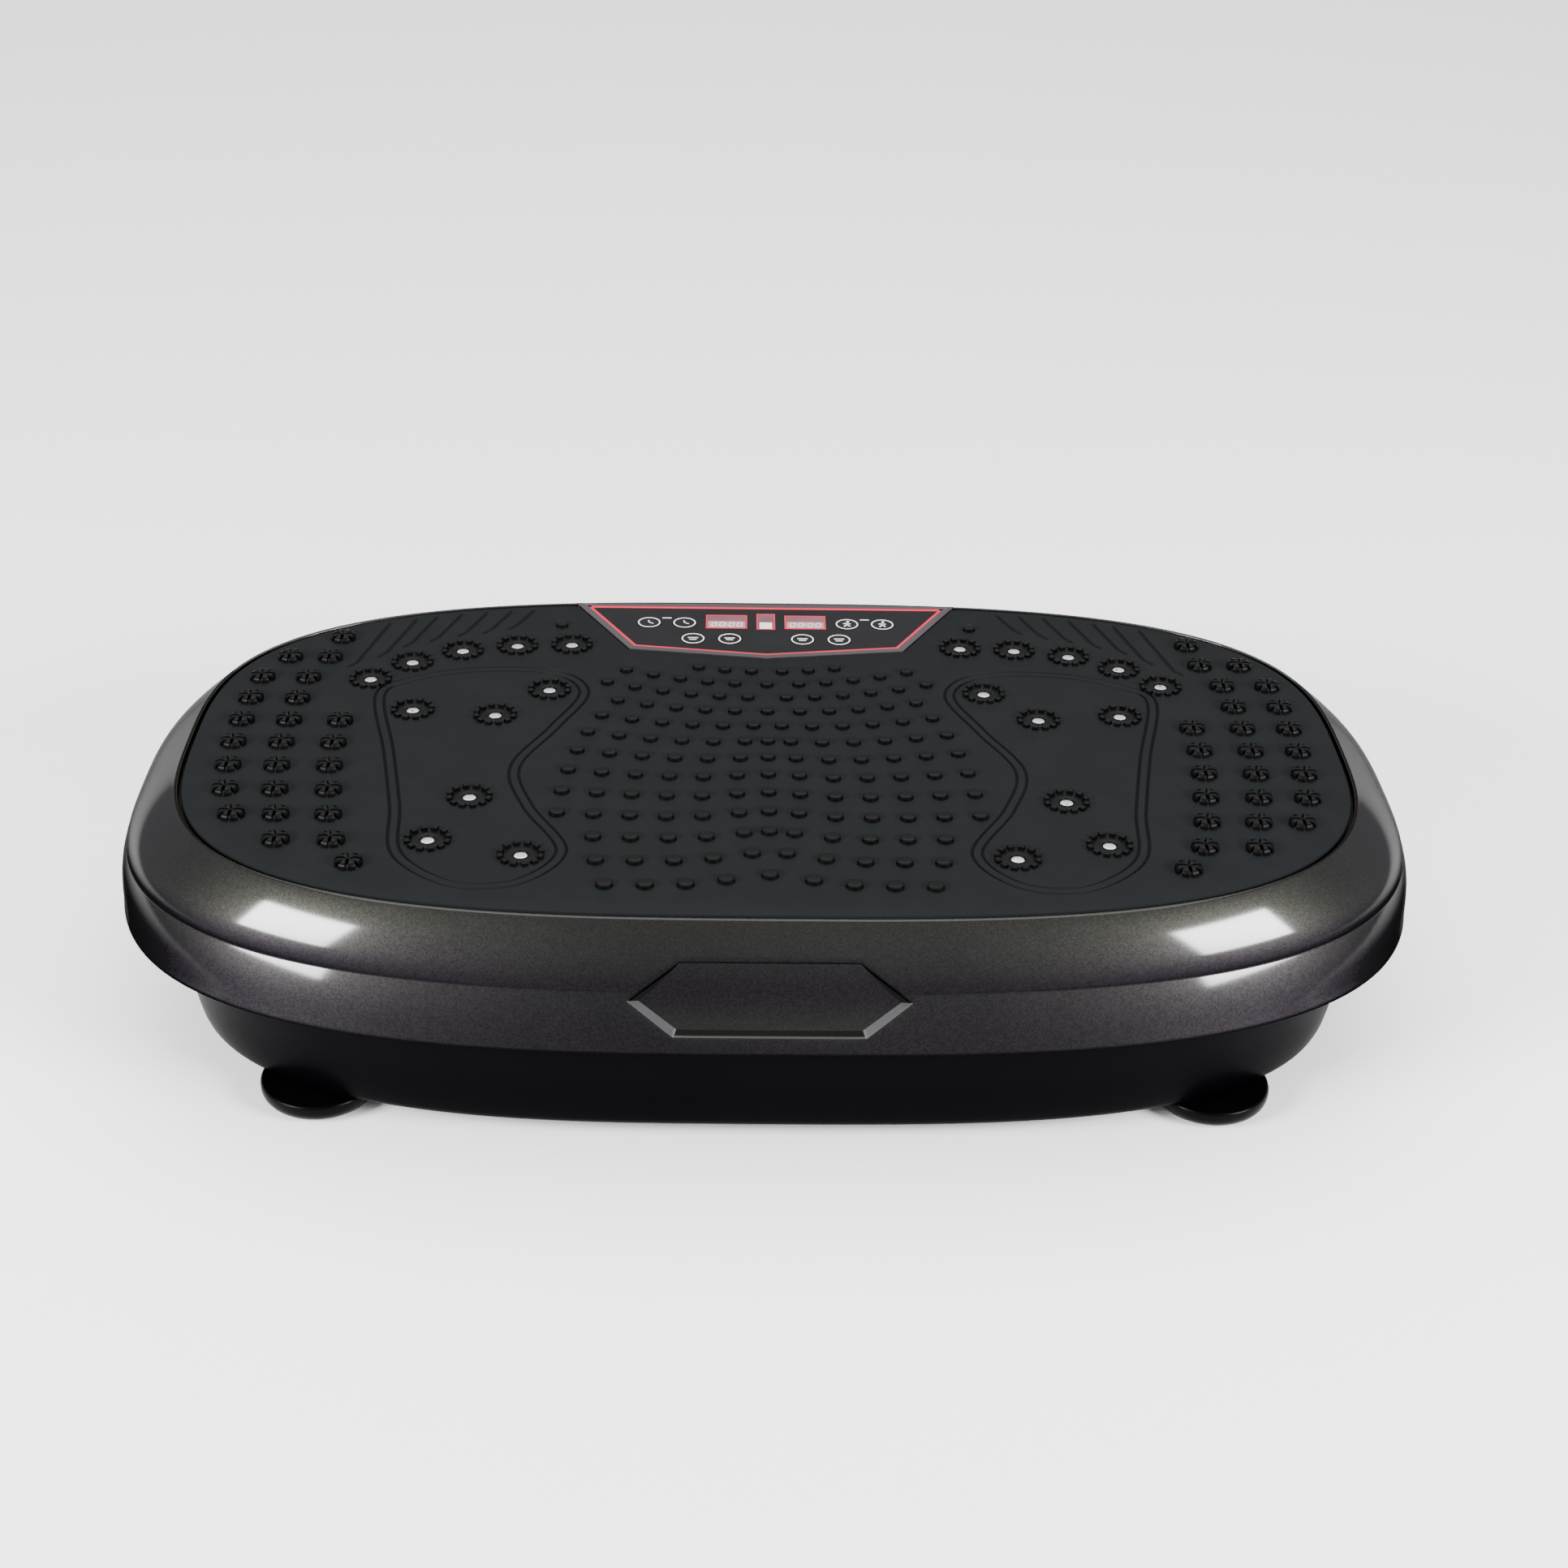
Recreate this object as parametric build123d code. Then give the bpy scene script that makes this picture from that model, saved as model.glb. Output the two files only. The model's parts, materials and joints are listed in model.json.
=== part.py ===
from build123d import *
import math
import os

# Slim rocking vibration plate. Millimetres, +Z up, origin on the floor under the middle.
# X runs along the long side, -Y is the side the user faces, +Y carries the control panel.

# overall sizes
deck_half_length = 333.0
deck_half_width = 203.0
mat_top_z = 127.0

# top shell: a skirt that flares out below a crease, and a rounded shoulder above it
crease_drop = 30.0
skirt_drop = 57.0
crease_inset = 11.5
lip_inset = 31.0
mat_inset = 33.0
mat_gap = 1.0
shell_wall = 3.0
shell_deck = 3.0

# the plan is an oval of tangent arcs: these are its radii at the foot of the skirt
deck_front_arc = 1310.0
deck_corner_arc = 162.0
deck_side_arc = 1600.0

# lower bowl
bowl_bottom_z = 12.0
bowl_wall = 3.0
bowl_rim_overlap = 10.0
bowl_bottom_inset_x = 33.0
bowl_bottom_inset_y = 21.5
bowl_flare = 10.0
bowl_edge = 4.0
bowl_front_arc = 1400.0
bowl_corner_arc = 136.0
bowl_side_arc = 1600.0

# feet
foot_radius = 29.5
foot_contact_radius = 14.0
foot_recess_radius = 7.0
foot_inset_x = 110.0
foot_inset_y = 65.0

# rocking motion
rock_degrees = 1.5
drive_x = 80.0
frame_to_pivot = 23.0
pivot_y = 100.0
pivot_radius = 6.0
pivot_bush_wall = 3.0
running_gap = 0.05

# steel work
base_plate_thick = 3.0
base_plate_gap = 2.0
frame_thick = 3.0
frame_half_length = 205.0
frame_half_width = 116.0
frame_lip = 10.0
pillar_height = 7.5
bracket_thick = 5.0
lug_thick = 4.0

# drive
pulley_radius = 30.0
motor_pulley_radius = 10.0
pulley_width = 12.0
pulley_floor_gap = 3.0
belt_width = 9.0
belt_thick = 1.5
belt_gap = 0.3
belt_y = 50.0
motor_x = -80.0
motor_radius = 31.0
motor_floor_gap = 2.0
motor_wall = 3.0
motor_shaft_radius = 4.0
crank_radius = 8.5
eccentric_radius = 12.5
big_end_bearing_radius = 20.0
rod_y = -10.0
rod_thick = 14.0
rod_big_radius = 25.0
rod_small_radius = 14.0
rod_eye_radius = 11.0
drive_pin_radius = 5.0
block_thick = 16.0
block_bearing_radius = 13.0
block_offset = 40.0

# rubber mat
mat_thick = 3.5
ring_radius = 11.7
ring_height = 1.6
magnet_radius = 4.3
magnet_height = 1.2
dome_radius = 7.0
dome_height = 3.5
bump_radius = 3.6
bump_height = 2.2

# control panel
panel_back_inset = 32.0
panel_depth = 70.0
panel_corner_rise = 10.5
panel_back_half = 110.0
panel_front_half = 77.0
panel_gap = 0.3
panel_face_drop = 0.4
bezel_width = 3.8
trim_width = 2.0
ledge_width = 2.2
overlay_thick = 1.5
key_radius = 6.8
key_gap = 0.35
key_travel = 0.5
switch_height = 3.0
board_thick = 1.6
board_stand = 1.2
tub_wall = 2.0

# mains socket and rocker switch at the back
socket_x = -60.0
switch_x = -112.0
socket_z = 40.0
pad_half_height = 16.0
pad_depth = 14.0

# heights worked out from the sizes above
crease_z = mat_top_z - crease_drop
skirt_z = mat_top_z - skirt_drop
mat_bottom_z = mat_top_z - mat_thick
deck_under_z = mat_bottom_z - shell_deck
frame_top_z = deck_under_z - pillar_height
frame_under_z = frame_top_z - frame_thick
pivot_z = frame_under_z - frame_to_pivot
bowl_floor_z = bowl_bottom_z + bowl_wall
plate_top_z = bowl_floor_z + base_plate_thick
bowl_rim_z = skirt_z + bowl_rim_overlap
# the shaft lies as low as the pulley or the motor allows; where little height is left for the rod,
# the rod keeps the length that its two ends need and leans inwards from the pin
crank_z = plate_top_z + max(pulley_floor_gap + pulley_radius, motor_floor_gap + motor_radius)
rod_length = max(pivot_z - crank_z, rod_big_radius + rod_eye_radius)
eccentric_x = drive_x - math.sqrt(rod_length**2 - (pivot_z - crank_z) ** 2)
eccentricity = drive_x * math.sin(math.radians(rock_degrees))
crank_x = eccentric_x - eccentricity
mat_half_length = deck_half_length - mat_inset
mat_half_width = deck_half_width - mat_inset
foot_x = deck_half_length - foot_inset_x
foot_y = deck_half_width - foot_inset_y
panel_back_y = deck_half_width - panel_back_inset
panel_front_y = panel_back_y - panel_depth
panel_face_z = mat_top_z - panel_face_drop
overlay_bottom_z = panel_face_z - overlay_thick
key_flange_top_z = overlay_bottom_z - key_gap
board_top_z = key_flange_top_z - 1.0 - key_travel - 0.1 - switch_height
tub_floor_z = board_top_z - board_thick - board_stand

parts = {}


def oval(half_length, half_width, front_arc, corner_arc, side_arc, z):
    """Closed outline of eight tangent arcs, drawn at height z."""
    front_centre = (0, half_width - front_arc)
    side_centre = (half_length - side_arc, 0)
    to_front = front_arc - corner_arc
    to_side = side_arc - corner_arc
    run = (side_centre[0] - front_centre[0], side_centre[1] - front_centre[1])
    gap = math.hypot(*run)
    along = (gap**2 + to_front**2 - to_side**2) / (2 * gap)
    across = math.sqrt(to_front**2 - along**2)
    ux, uy = run[0] / gap, run[1] / gap
    centres = [
        (ux * along - s * uy * across, front_centre[1] + uy * along + s * ux * across) for s in (-1, 1)
    ]
    cx, cy = max(centres)
    start = math.atan2(cx, cy - front_centre[1])
    end = math.pi / 2 - math.atan2(cy, cx - side_centre[0])

    def corner(angle):
        return (cx + corner_arc * math.sin(angle), cy + corner_arc * math.cos(angle))

    x0, y0 = corner(start)
    xm, ym = corner((start + end) / 2)
    x1, y1 = corner(end)
    arcs = [
        ThreePointArc((-x0, y0), (0, half_width), (x0, y0)),
        ThreePointArc((x0, y0), (xm, ym), (x1, y1)),
        ThreePointArc((x1, y1), (half_length, 0), (x1, -y1)),
        ThreePointArc((x1, -y1), (xm, -ym), (x0, -y0)),
        ThreePointArc((x0, -y0), (0, -half_width), (-x0, -y0)),
        ThreePointArc((-x0, -y0), (-xm, -ym), (-x1, -y1)),
        ThreePointArc((-x1, -y1), (-half_length, 0), (-x1, y1)),
        ThreePointArc((-x1, y1), (-xm, ym), (-x0, y0)),
    ]
    return (Pos(0, 0, z) * make_face(arcs)).wire()


def deck_outline(inset, z):
    arcs = [r - inset for r in (deck_front_arc, deck_corner_arc, deck_side_arc)]
    return oval(deck_half_length - inset, deck_half_width - inset, *arcs, z)


def bowl_outline(grow, z):
    half_length = deck_half_length - bowl_bottom_inset_x + grow
    half_width = deck_half_width - bowl_bottom_inset_y + grow
    arcs = [r + grow for r in (bowl_front_arc, bowl_corner_arc, bowl_side_arc)]
    return oval(half_length, half_width, *arcs, z)


def skin(outlines):
    return Solid.make_loft(outlines, ruled=True)


def block(x0, x1, y0, y1, z0, z1):
    size = (x1 - x0, y1 - y0, z1 - z0)
    return Pos((x0 + x1) / 2, (y0 + y1) / 2, (z0 + z1) / 2) * Box(*size)


def post(x, y, z0, z1, radius):
    return Pos(x, y, (z0 + z1) / 2) * Cylinder(radius, z1 - z0)


def bar_y(x, z, y0, y1, radius):
    return Pos(x, (y0 + y1) / 2, z) * Rot(90, 0, 0) * Cylinder(radius, y1 - y0)


def tube_y(x, z, y0, y1, outer, inner):
    return bar_y(x, z, y0, y1, outer) - bar_y(x, z, y0 - 1, y1 + 1, inner)


def prism(sketch, z0, z1):
    return extrude(Pos(0, 0, z0) * sketch, z1 - z0, dir=(0, 0, 1))


def plate_xz(sketch, y0, y1):
    """A shape drawn in X and Z, given thickness along Y from y0 to y1."""
    return extrude(Pos(0, y1, 0) * Rot(90, 0, 0) * sketch, y1 - y0, dir=(0, -1, 0))


def screw_down(x, y, seat_z, tip_z, radius):
    head = post(x, y, seat_z, seat_z + radius * 1.3, radius * 1.8)
    socket = post(x, y, seat_z + radius * 0.5, seat_z + radius * 1.3 + 1, radius * 0.8)
    return head + post(x, y, tip_z, seat_z, radius) - socket


def screw_up(x, y, seat_z, tip_z, radius):
    head = post(x, y, seat_z - radius * 1.3, seat_z, radius * 1.8)
    socket = post(x, y, seat_z - radius * 1.3 - 1, seat_z - radius * 0.5, radius * 0.8)
    return head + post(x, y, seat_z, tip_z, radius) - socket


def group(name, solids):
    parts[name] = Compound(children=[s.solid() if hasattr(s, "solid") else s for s in solids])


def both_sides(points):
    return [(side * x, y) for x, y in points for side in (-1, 1)]


def four_corners(x, y):
    return [(sx * x, sy * y) for sx in (-1, 1) for sy in (-1, 1)]


def panel_outline(grow):
    """The panel's outline in plan, grown by the given amount all round."""
    half = [
        (panel_back_half, panel_back_y),
        (panel_front_half, panel_front_y + panel_corner_rise),
        (0, panel_front_y),
    ]
    points = half + [(-x, y) for x, y in reversed(half[:2])]
    face = make_face(Polyline(*points, close=True))
    if grow == 0:
        return face
    return offset(face, grow, kind=Kind.INTERSECTION)


# ---- lower casing ----

bowl_growth = [
    (-bowl_edge, bowl_bottom_z),
    (-bowl_edge / 4, bowl_bottom_z + bowl_edge / 2),
    (bowl_edge / 3, bowl_bottom_z + bowl_edge * 1.5),
    (bowl_flare * 0.6, bowl_bottom_z + 18),
    (bowl_flare * 0.85, (bowl_bottom_z + 18 + bowl_rim_z) / 2),
    (bowl_flare, bowl_rim_z),
]
bowl = skin([bowl_outline(grow, z) for grow, z in bowl_growth])
hollow_growth = [(bowl_growth[2][0] - bowl_wall - 1, bowl_floor_z)] + [
    (grow - bowl_wall - 0.5, z) for grow, z in bowl_growth[3:]
]
bowl -= skin([bowl_outline(grow, z) for grow, z in hollow_growth])

pad_y = deck_half_width - bowl_bottom_inset_y + bowl_flare - 1.0
pad = block(
    switch_x - 24, socket_x + 34, pad_y - pad_depth, pad_y,
    socket_z - pad_half_height, socket_z + pad_half_height,
)
bowl += pad

socket_half = (13.5, 10.0)
socket_window_gap = 0.2
rocker_half = (10.5, 7.5)
for x, half in ((socket_x, socket_half), (switch_x, rocker_half)):
    wide = half[0] + socket_window_gap
    tall = half[1] + socket_window_gap
    bowl -= block(x - wide, x + wide, pad_y - 40, pad_y + 2, socket_z - tall, socket_z + tall)

foot_screw_radius = 3.0
foot_screw_gap = 0.2
for x, y in four_corners(foot_x, foot_y):
    bowl -= post(x, y, bowl_bottom_z - 1, bowl_floor_z + 1, foot_screw_radius + foot_screw_gap)

plate_grow = hollow_growth[0][0] - base_plate_gap
plate_outline = bowl_outline(plate_grow, bowl_floor_z)
base_plate = extrude(make_face(plate_outline), base_plate_thick, dir=(0, 0, 1))
for x, y in four_corners(foot_x, foot_y):
    base_plate -= post(x, y, bowl_floor_z - 1, plate_top_z + 1, foot_screw_radius)

plate_half_x = deck_half_length - bowl_bottom_inset_x + plate_grow
plate_half_y = deck_half_width - bowl_bottom_inset_y + plate_grow
plate_screw_radius = 2.5
plate_screws = four_corners(plate_half_x - 22, 32) + four_corners(52, plate_half_y - 14)
for x, y in plate_screws:
    base_plate -= post(x, y, bowl_floor_z - 1, plate_top_z + 1, plate_screw_radius)
    bowl -= post(x, y, bowl_floor_z - 2, bowl_floor_z + 1, plate_screw_radius)

screw_solids = [screw_down(x, y, plate_top_z, bowl_floor_z - 2, plate_screw_radius) for x, y in plate_screws]

# ---- feet ----

foot_profile = make_face(
    [
        Line((foot_recess_radius, 0), (foot_contact_radius, 0)),
        TangentArc((foot_contact_radius, 0), (foot_radius, 9.0), tangent=(1, 0)),
        Line((foot_radius, 9.0), (foot_radius - 1, bowl_bottom_z)),
        Line((foot_radius - 1, bowl_bottom_z), (foot_screw_radius + foot_screw_gap, bowl_bottom_z)),
        Line((foot_screw_radius + foot_screw_gap, bowl_bottom_z), (foot_screw_radius + foot_screw_gap, 7.0)),
        Line((foot_screw_radius + foot_screw_gap, 7.0), (foot_recess_radius, 7.0)),
        Line((foot_recess_radius, 7.0), (foot_recess_radius, 0)),
    ]
)
foot = revolve(Rot(90, 0, 0) * foot_profile, Axis.Z)
group("rubber_feet", [Pos(x, y, 0) * foot for x, y in four_corners(foot_x, foot_y)])
group(
    "foot_screws",
    [screw_up(x, y, 7.0, plate_top_z + 4, foot_screw_radius) for x, y in four_corners(foot_x, foot_y)],
)

# ---- pivot of the deck: two upright brackets, bushes and shoulder pins ----

bush_radius = pivot_radius + pivot_bush_wall
bush_flange = 1.0
bracket_foot = 25.0
bracket_screw_radius = 2.5


def pivot_bracket(side):
    """Bracket at y = side * pivot_y, its foot turned towards the middle."""
    cheek = make_face(
        Polyline(
            (-30, plate_top_z), (30, plate_top_z), (30, plate_top_z + 12),
            (16, pivot_z), (-16, pivot_z), (-30, plate_top_z + 12), close=True,
        )
    )
    half = bracket_thick / 2
    solid = plate_xz(cheek, side * pivot_y - half, side * pivot_y + half)
    solid += bar_y(0, pivot_z, side * pivot_y - half, side * pivot_y + half, 16)
    inner = side * (pivot_y - half - bracket_foot)
    outer = side * (pivot_y + half)
    solid += block(-30, 30, min(inner, outer), max(inner, outer), plate_top_z, plate_top_z + bracket_thick)
    solid -= bar_y(0, pivot_z, side * pivot_y - half - 1, side * pivot_y + half + 1, bush_radius)
    for x in (-20, 20):
        y = side * (pivot_y - half - bracket_foot / 2)
        solid -= post(x, y, plate_top_z - 1, plate_top_z + bracket_thick + 1, bracket_screw_radius)
    return solid


parts["front_pivot_bracket"] = pivot_bracket(-1)
parts["rear_pivot_bracket"] = pivot_bracket(1)

bushes = []
pivot_pins = []
for side in (-1, 1):
    y_in = pivot_y - bracket_thick / 2
    y_out = pivot_y + bracket_thick / 2
    bush = bar_y(0, pivot_z, y_in, y_out, bush_radius)
    bush += bar_y(0, pivot_z, y_out, y_out + bush_flange, bush_radius + 3)
    bush -= bar_y(0, pivot_z, y_in - 1, y_out + bush_flange + 1, pivot_radius + running_gap)
    lug_in = y_out + bush_flange + 0.5
    lug_out = lug_in + lug_thick
    pin = bar_y(0, pivot_z, y_in - 2, lug_out, pivot_radius)
    pin += bar_y(0, pivot_z, lug_out, lug_out + 4.5, pivot_radius + 4)
    if side < 0:
        bush = mirror(bush, Plane.XZ)
        pin = mirror(pin, Plane.XZ)
    bushes.append(bush)
    pivot_pins.append(pin)
    for x in (-20, 20):
        y = side * (y_in - bracket_foot / 2)
        screw_solids.append(screw_down(x, y, plate_top_z + bracket_thick, bowl_floor_z, bracket_screw_radius))
        base_plate -= post(x, y, bowl_floor_z - 1, plate_top_z + 1, bracket_screw_radius)
group("pivot_bushes", bushes)
group("pivot_pins", pivot_pins)

# ---- crank: pillow blocks, bearings, eccentric shaft, pulleys and belt ----

block_half = 33.0
block_screw_x = 26.0
block_screw_radius = 3.0
block_bearings = []
for name, y in (("front_crank_block", rod_y - block_offset), ("rear_crank_block", rod_y + block_offset)):
    y0 = y - block_thick / 2
    y1 = y + block_thick / 2
    solid = block(crank_x - block_half, crank_x + block_half, y0, y1, plate_top_z, plate_top_z + 12)
    solid += block(crank_x - 20, crank_x + 20, y0, y1, plate_top_z, crank_z)
    solid += bar_y(crank_x, crank_z, y0, y1, 20)
    solid -= bar_y(crank_x, crank_z, y0 - 1, y1 + 1, block_bearing_radius)
    for side in (-1, 1):
        x = crank_x + side * block_screw_x
        solid -= post(x, y, plate_top_z - 1, plate_top_z + 13, block_screw_radius)
        base_plate -= post(x, y, bowl_floor_z - 1, plate_top_z + 1, block_screw_radius)
        screw_solids.append(screw_down(x, y, plate_top_z + 12, bowl_floor_z, block_screw_radius))
    parts[name] = solid
    ring = tube_y(crank_x, crank_z, y0 + 2, y1 - 2, block_bearing_radius, crank_radius + running_gap)
    block_bearings.append(ring)
group("crank_bearings", block_bearings)

pulley_y0 = belt_y - pulley_width / 2
pulley_y1 = belt_y + pulley_width / 2
shaft_front_y = rod_y - block_offset - block_thick / 2 - 4
eccentric_half = 8.0
shaft = bar_y(crank_x, crank_z, shaft_front_y, pulley_y1 + 2, crank_radius)
shaft += bar_y(eccentric_x, crank_z, rod_y - eccentric_half, rod_y + eccentric_half, eccentric_radius)
parts["eccentric_shaft"] = shaft


def pulley(x, z, radius, bore):
    """Flat-belt pulley with a shallow web on each face and a keyless bore."""
    solid = bar_y(x, z, pulley_y0, pulley_y1, radius)
    if radius > 3 * bore:
        web_outer = radius - 5
        web_inner = bore + 6
        solid -= tube_y(x, z, pulley_y0 - 1, pulley_y0 + 3.5, web_outer, web_inner)
        solid -= tube_y(x, z, pulley_y1 - 3.5, pulley_y1 + 1, web_outer, web_inner)
    return solid - bar_y(x, z, pulley_y0 - 1, pulley_y1 + 1, bore)


parts["crank_pulley"] = pulley(crank_x, crank_z, pulley_radius, crank_radius)
parts["motor_pulley"] = pulley(motor_x, crank_z, motor_pulley_radius, motor_shaft_radius)


def belt_band(grow):
    small = Pos(motor_x, crank_z) * Circle(motor_pulley_radius + grow)
    large = Pos(crank_x, crank_z) * Circle(pulley_radius + grow)
    return make_hull(small.edges() + large.edges())


parts["drive_belt"] = plate_xz(
    belt_band(belt_gap + belt_thick) - belt_band(belt_gap),
    belt_y - belt_width / 2,
    belt_y + belt_width / 2,
)

# ---- connecting rod: ball bearing on the eccentric, rubber bush round the deck's pin ----

rod_y0 = rod_y - rod_thick / 2
rod_y1 = rod_y + rod_thick / 2
rod_shape = make_hull(
    (Pos(eccentric_x, crank_z) * Circle(rod_big_radius)).edges()
    + (Pos(drive_x, pivot_z) * Circle(rod_small_radius)).edges()
)
rod = plate_xz(rod_shape, rod_y0, rod_y1)
rod -= bar_y(eccentric_x, crank_z, rod_y0 - 1, rod_y1 + 1, big_end_bearing_radius)
rod -= bar_y(drive_x, pivot_z, rod_y0 - 1, rod_y1 + 1, rod_eye_radius)
parts["connecting_rod"] = rod
parts["big_end_bearing"] = tube_y(
    eccentric_x, crank_z, rod_y0 + 1, rod_y1 - 1, big_end_bearing_radius, eccentric_radius + running_gap
)
parts["small_end_bush"] = tube_y(
    drive_x, pivot_z, rod_y0, rod_y1, rod_eye_radius, drive_pin_radius + running_gap
)

# ---- motor ----

motor_front_y = belt_y - 20.0
motor_length = 108.0
motor_back_y = motor_front_y - motor_length
motor_bracket_thick = 4.0
motor_cap_thick = 4.0
motor_end_wall = 6.0
can_front_y = motor_front_y - motor_cap_thick
can = bar_y(motor_x, crank_z, motor_back_y, can_front_y, motor_radius)
can -= bar_y(motor_x, crank_z, motor_back_y + motor_end_wall, can_front_y + 1, motor_radius - motor_wall)
can -= bar_y(motor_x, crank_z, motor_back_y + 2, motor_back_y + 8, motor_shaft_radius + running_gap)
parts["motor_can"] = can

motor_screw_x = 22.0
motor_screw_radius = 2.0
motor_boss_radius = 9.0
cap_y1 = motor_front_y + motor_bracket_thick + 1
cap = bar_y(motor_x, crank_z, can_front_y, motor_front_y, motor_radius)
cap += bar_y(motor_x, crank_z, motor_front_y, cap_y1, motor_boss_radius)
cap -= bar_y(motor_x, crank_z, can_front_y - 1, cap_y1 + 1, motor_shaft_radius + running_gap)

magnet_gap = 2.0
armature_radius = 20.0
ring_in = armature_radius + magnet_gap
field = tube_y(
    motor_x, crank_z, motor_back_y + 16, can_front_y - 12, motor_radius - motor_wall, ring_in
)
slot_half = 9.0
field -= block(
    motor_x - slot_half, motor_x + slot_half, motor_back_y, motor_front_y,
    crank_z - motor_radius, crank_z + motor_radius,
)
group("motor_magnets", field.solids())
armature = tube_y(
    motor_x, crank_z, motor_back_y + 14, can_front_y - 10, armature_radius, motor_shaft_radius
)
for i in range(12):
    slot = Pos(motor_x, (motor_back_y + can_front_y) / 2, crank_z) * Rot(0, i * 30, 0)
    armature -= slot * Pos(armature_radius - 2, 0, 0) * Box(6, motor_length, 2)
parts["motor_armature"] = armature
parts["motor_shaft"] = bar_y(motor_x, crank_z, motor_back_y + 2.5, pulley_y1 + 1, motor_shaft_radius)

bracket_half = 36.0
plate = block(
    motor_x - bracket_half, motor_x + bracket_half, motor_front_y, motor_front_y + motor_bracket_thick,
    plate_top_z, crank_z + bracket_half - 2,
)
foot_y1 = motor_front_y + 28
plate += block(
    motor_x - bracket_half, motor_x + bracket_half, motor_front_y, foot_y1,
    plate_top_z, plate_top_z + motor_bracket_thick,
)
plate -= bar_y(
    motor_x, crank_z, motor_front_y - 1, motor_front_y + motor_bracket_thick + 1, motor_boss_radius
)
motor_screws = []
for side in (-1, 1):
    x = motor_x + side * motor_screw_x
    plate -= bar_y(x, crank_z, motor_front_y - 1, motor_front_y + 6, motor_screw_radius)
    cap -= bar_y(x, crank_z, can_front_y + 1, motor_front_y + 1, motor_screw_radius)
    face_y = motor_front_y + motor_bracket_thick
    screw = bar_y(x, crank_z, can_front_y + 1, face_y, motor_screw_radius)
    motor_screws.append(screw + bar_y(x, crank_z, face_y, face_y + 3, motor_screw_radius * 1.8))
    x = motor_x + side * (bracket_half - 10)
    y = foot_y1 - 8
    plate -= post(x, y, plate_top_z - 1, plate_top_z + motor_bracket_thick + 1, bracket_screw_radius)
    base_plate -= post(x, y, bowl_floor_z - 1, plate_top_z + 1, bracket_screw_radius)
    seat_z = plate_top_z + motor_bracket_thick
    screw_solids.append(screw_down(x, y, seat_z, bowl_floor_z, bracket_screw_radius))
parts["motor_front_cap"] = cap
parts["motor_bracket"] = plate
group("motor_screws", motor_screws)

# ---- power board ----

board_x = -172.0
board_half = (38.0, 54.0)
stand_height = 6.0
stand_radius = 3.0
board_z0 = plate_top_z + stand_height
board_z1 = board_z0 + board_thick
board_edges = (board_x - board_half[0], board_x + board_half[0], -board_half[1], board_half[1])
parts["power_board"] = block(*board_edges, board_z0, board_z1)
group(
    "board_standoffs",
    [
        post(board_x + x, y, plate_top_z, board_z0, stand_radius)
        for x, y in four_corners(board_half[0] - 5, board_half[1] - 5)
    ],
)
group(
    "power_board_parts",
    [
        block(board_x - 32, board_x + 2, -46, -14, board_z1, board_z1 + 28),
        post(board_x + 18, -34, board_z1, board_z1 + 32, 11),
        post(board_x + 18, -8, board_z1, board_z1 + 32, 11),
        block(board_x - 30, board_x - 10, 0, 16, board_z1, board_z1 + 16),
        block(board_x - 30, board_x + 8, 38, 50, board_z1, board_z1 + 12),
    ],
)
sink_height = 34.0
sink = block(board_x + 12, board_x + 34, 10, 50, board_z1, board_z1 + sink_height)
for i in range(6):
    y = 13.5 + 6.5 * i
    sink -= block(board_x + 16, board_x + 35, y, y + 3.5, board_z1 + 3, board_z1 + sink_height + 1)
parts["heat_sink"] = sink

# ---- stops: rubber buffers on posts under the deck frame ----

buffer_x = 188.0
buffer_y = 62.0
buffer_radius = 12.0
buffer_post_radius = 8.0
buffer_height = 8.0
buffer_gap = 0.8
buffer_drop = (buffer_x + buffer_radius) * math.sin(math.radians(rock_degrees))
buffer_top_z = frame_under_z - buffer_drop - buffer_gap
post_top_z = buffer_top_z - buffer_height
buffer_places = four_corners(buffer_x, buffer_y)
group("buffer_posts", [post(x, y, plate_top_z, post_top_z, buffer_post_radius) for x, y in buffer_places])
group("rubber_buffers", [post(x, y, post_top_z, buffer_top_z, buffer_radius) for x, y in buffer_places])

# ---- mains socket and rocker switch ----

flange_thick = 2.5
flange_edge = 3.0
socket_depth = 24.0
cavity_depth = 18.0
pin_start = 5.5
sx, sz = socket_half
socket = block(socket_x - sx, socket_x + sx, pad_y - socket_depth, pad_y, socket_z - sz, socket_z + sz)
socket += block(
    socket_x - sx - 8, socket_x + sx + 8, pad_y, pad_y + flange_thick,
    socket_z - sz - flange_edge, socket_z + sz + flange_edge,
)
mouth_y = pad_y + flange_thick
socket -= block(
    socket_x - sx + 1.5, socket_x + sx - 1.5, mouth_y - cavity_depth, mouth_y + 1,
    socket_z - sz + 1.5, socket_z + sz - 1.5,
)
pins = []
for x, z in ((-7, -2), (0, 2), (7, -2)):
    pins.append(
        block(
            socket_x + x - 1, socket_x + x + 1, mouth_y - cavity_depth - 10, mouth_y - pin_start,
            socket_z + z - 2, socket_z + z + 2,
        )
    )
for pin in pins:
    socket -= pin
parts["mains_socket"] = socket
group("mains_socket_pins", pins)

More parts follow.
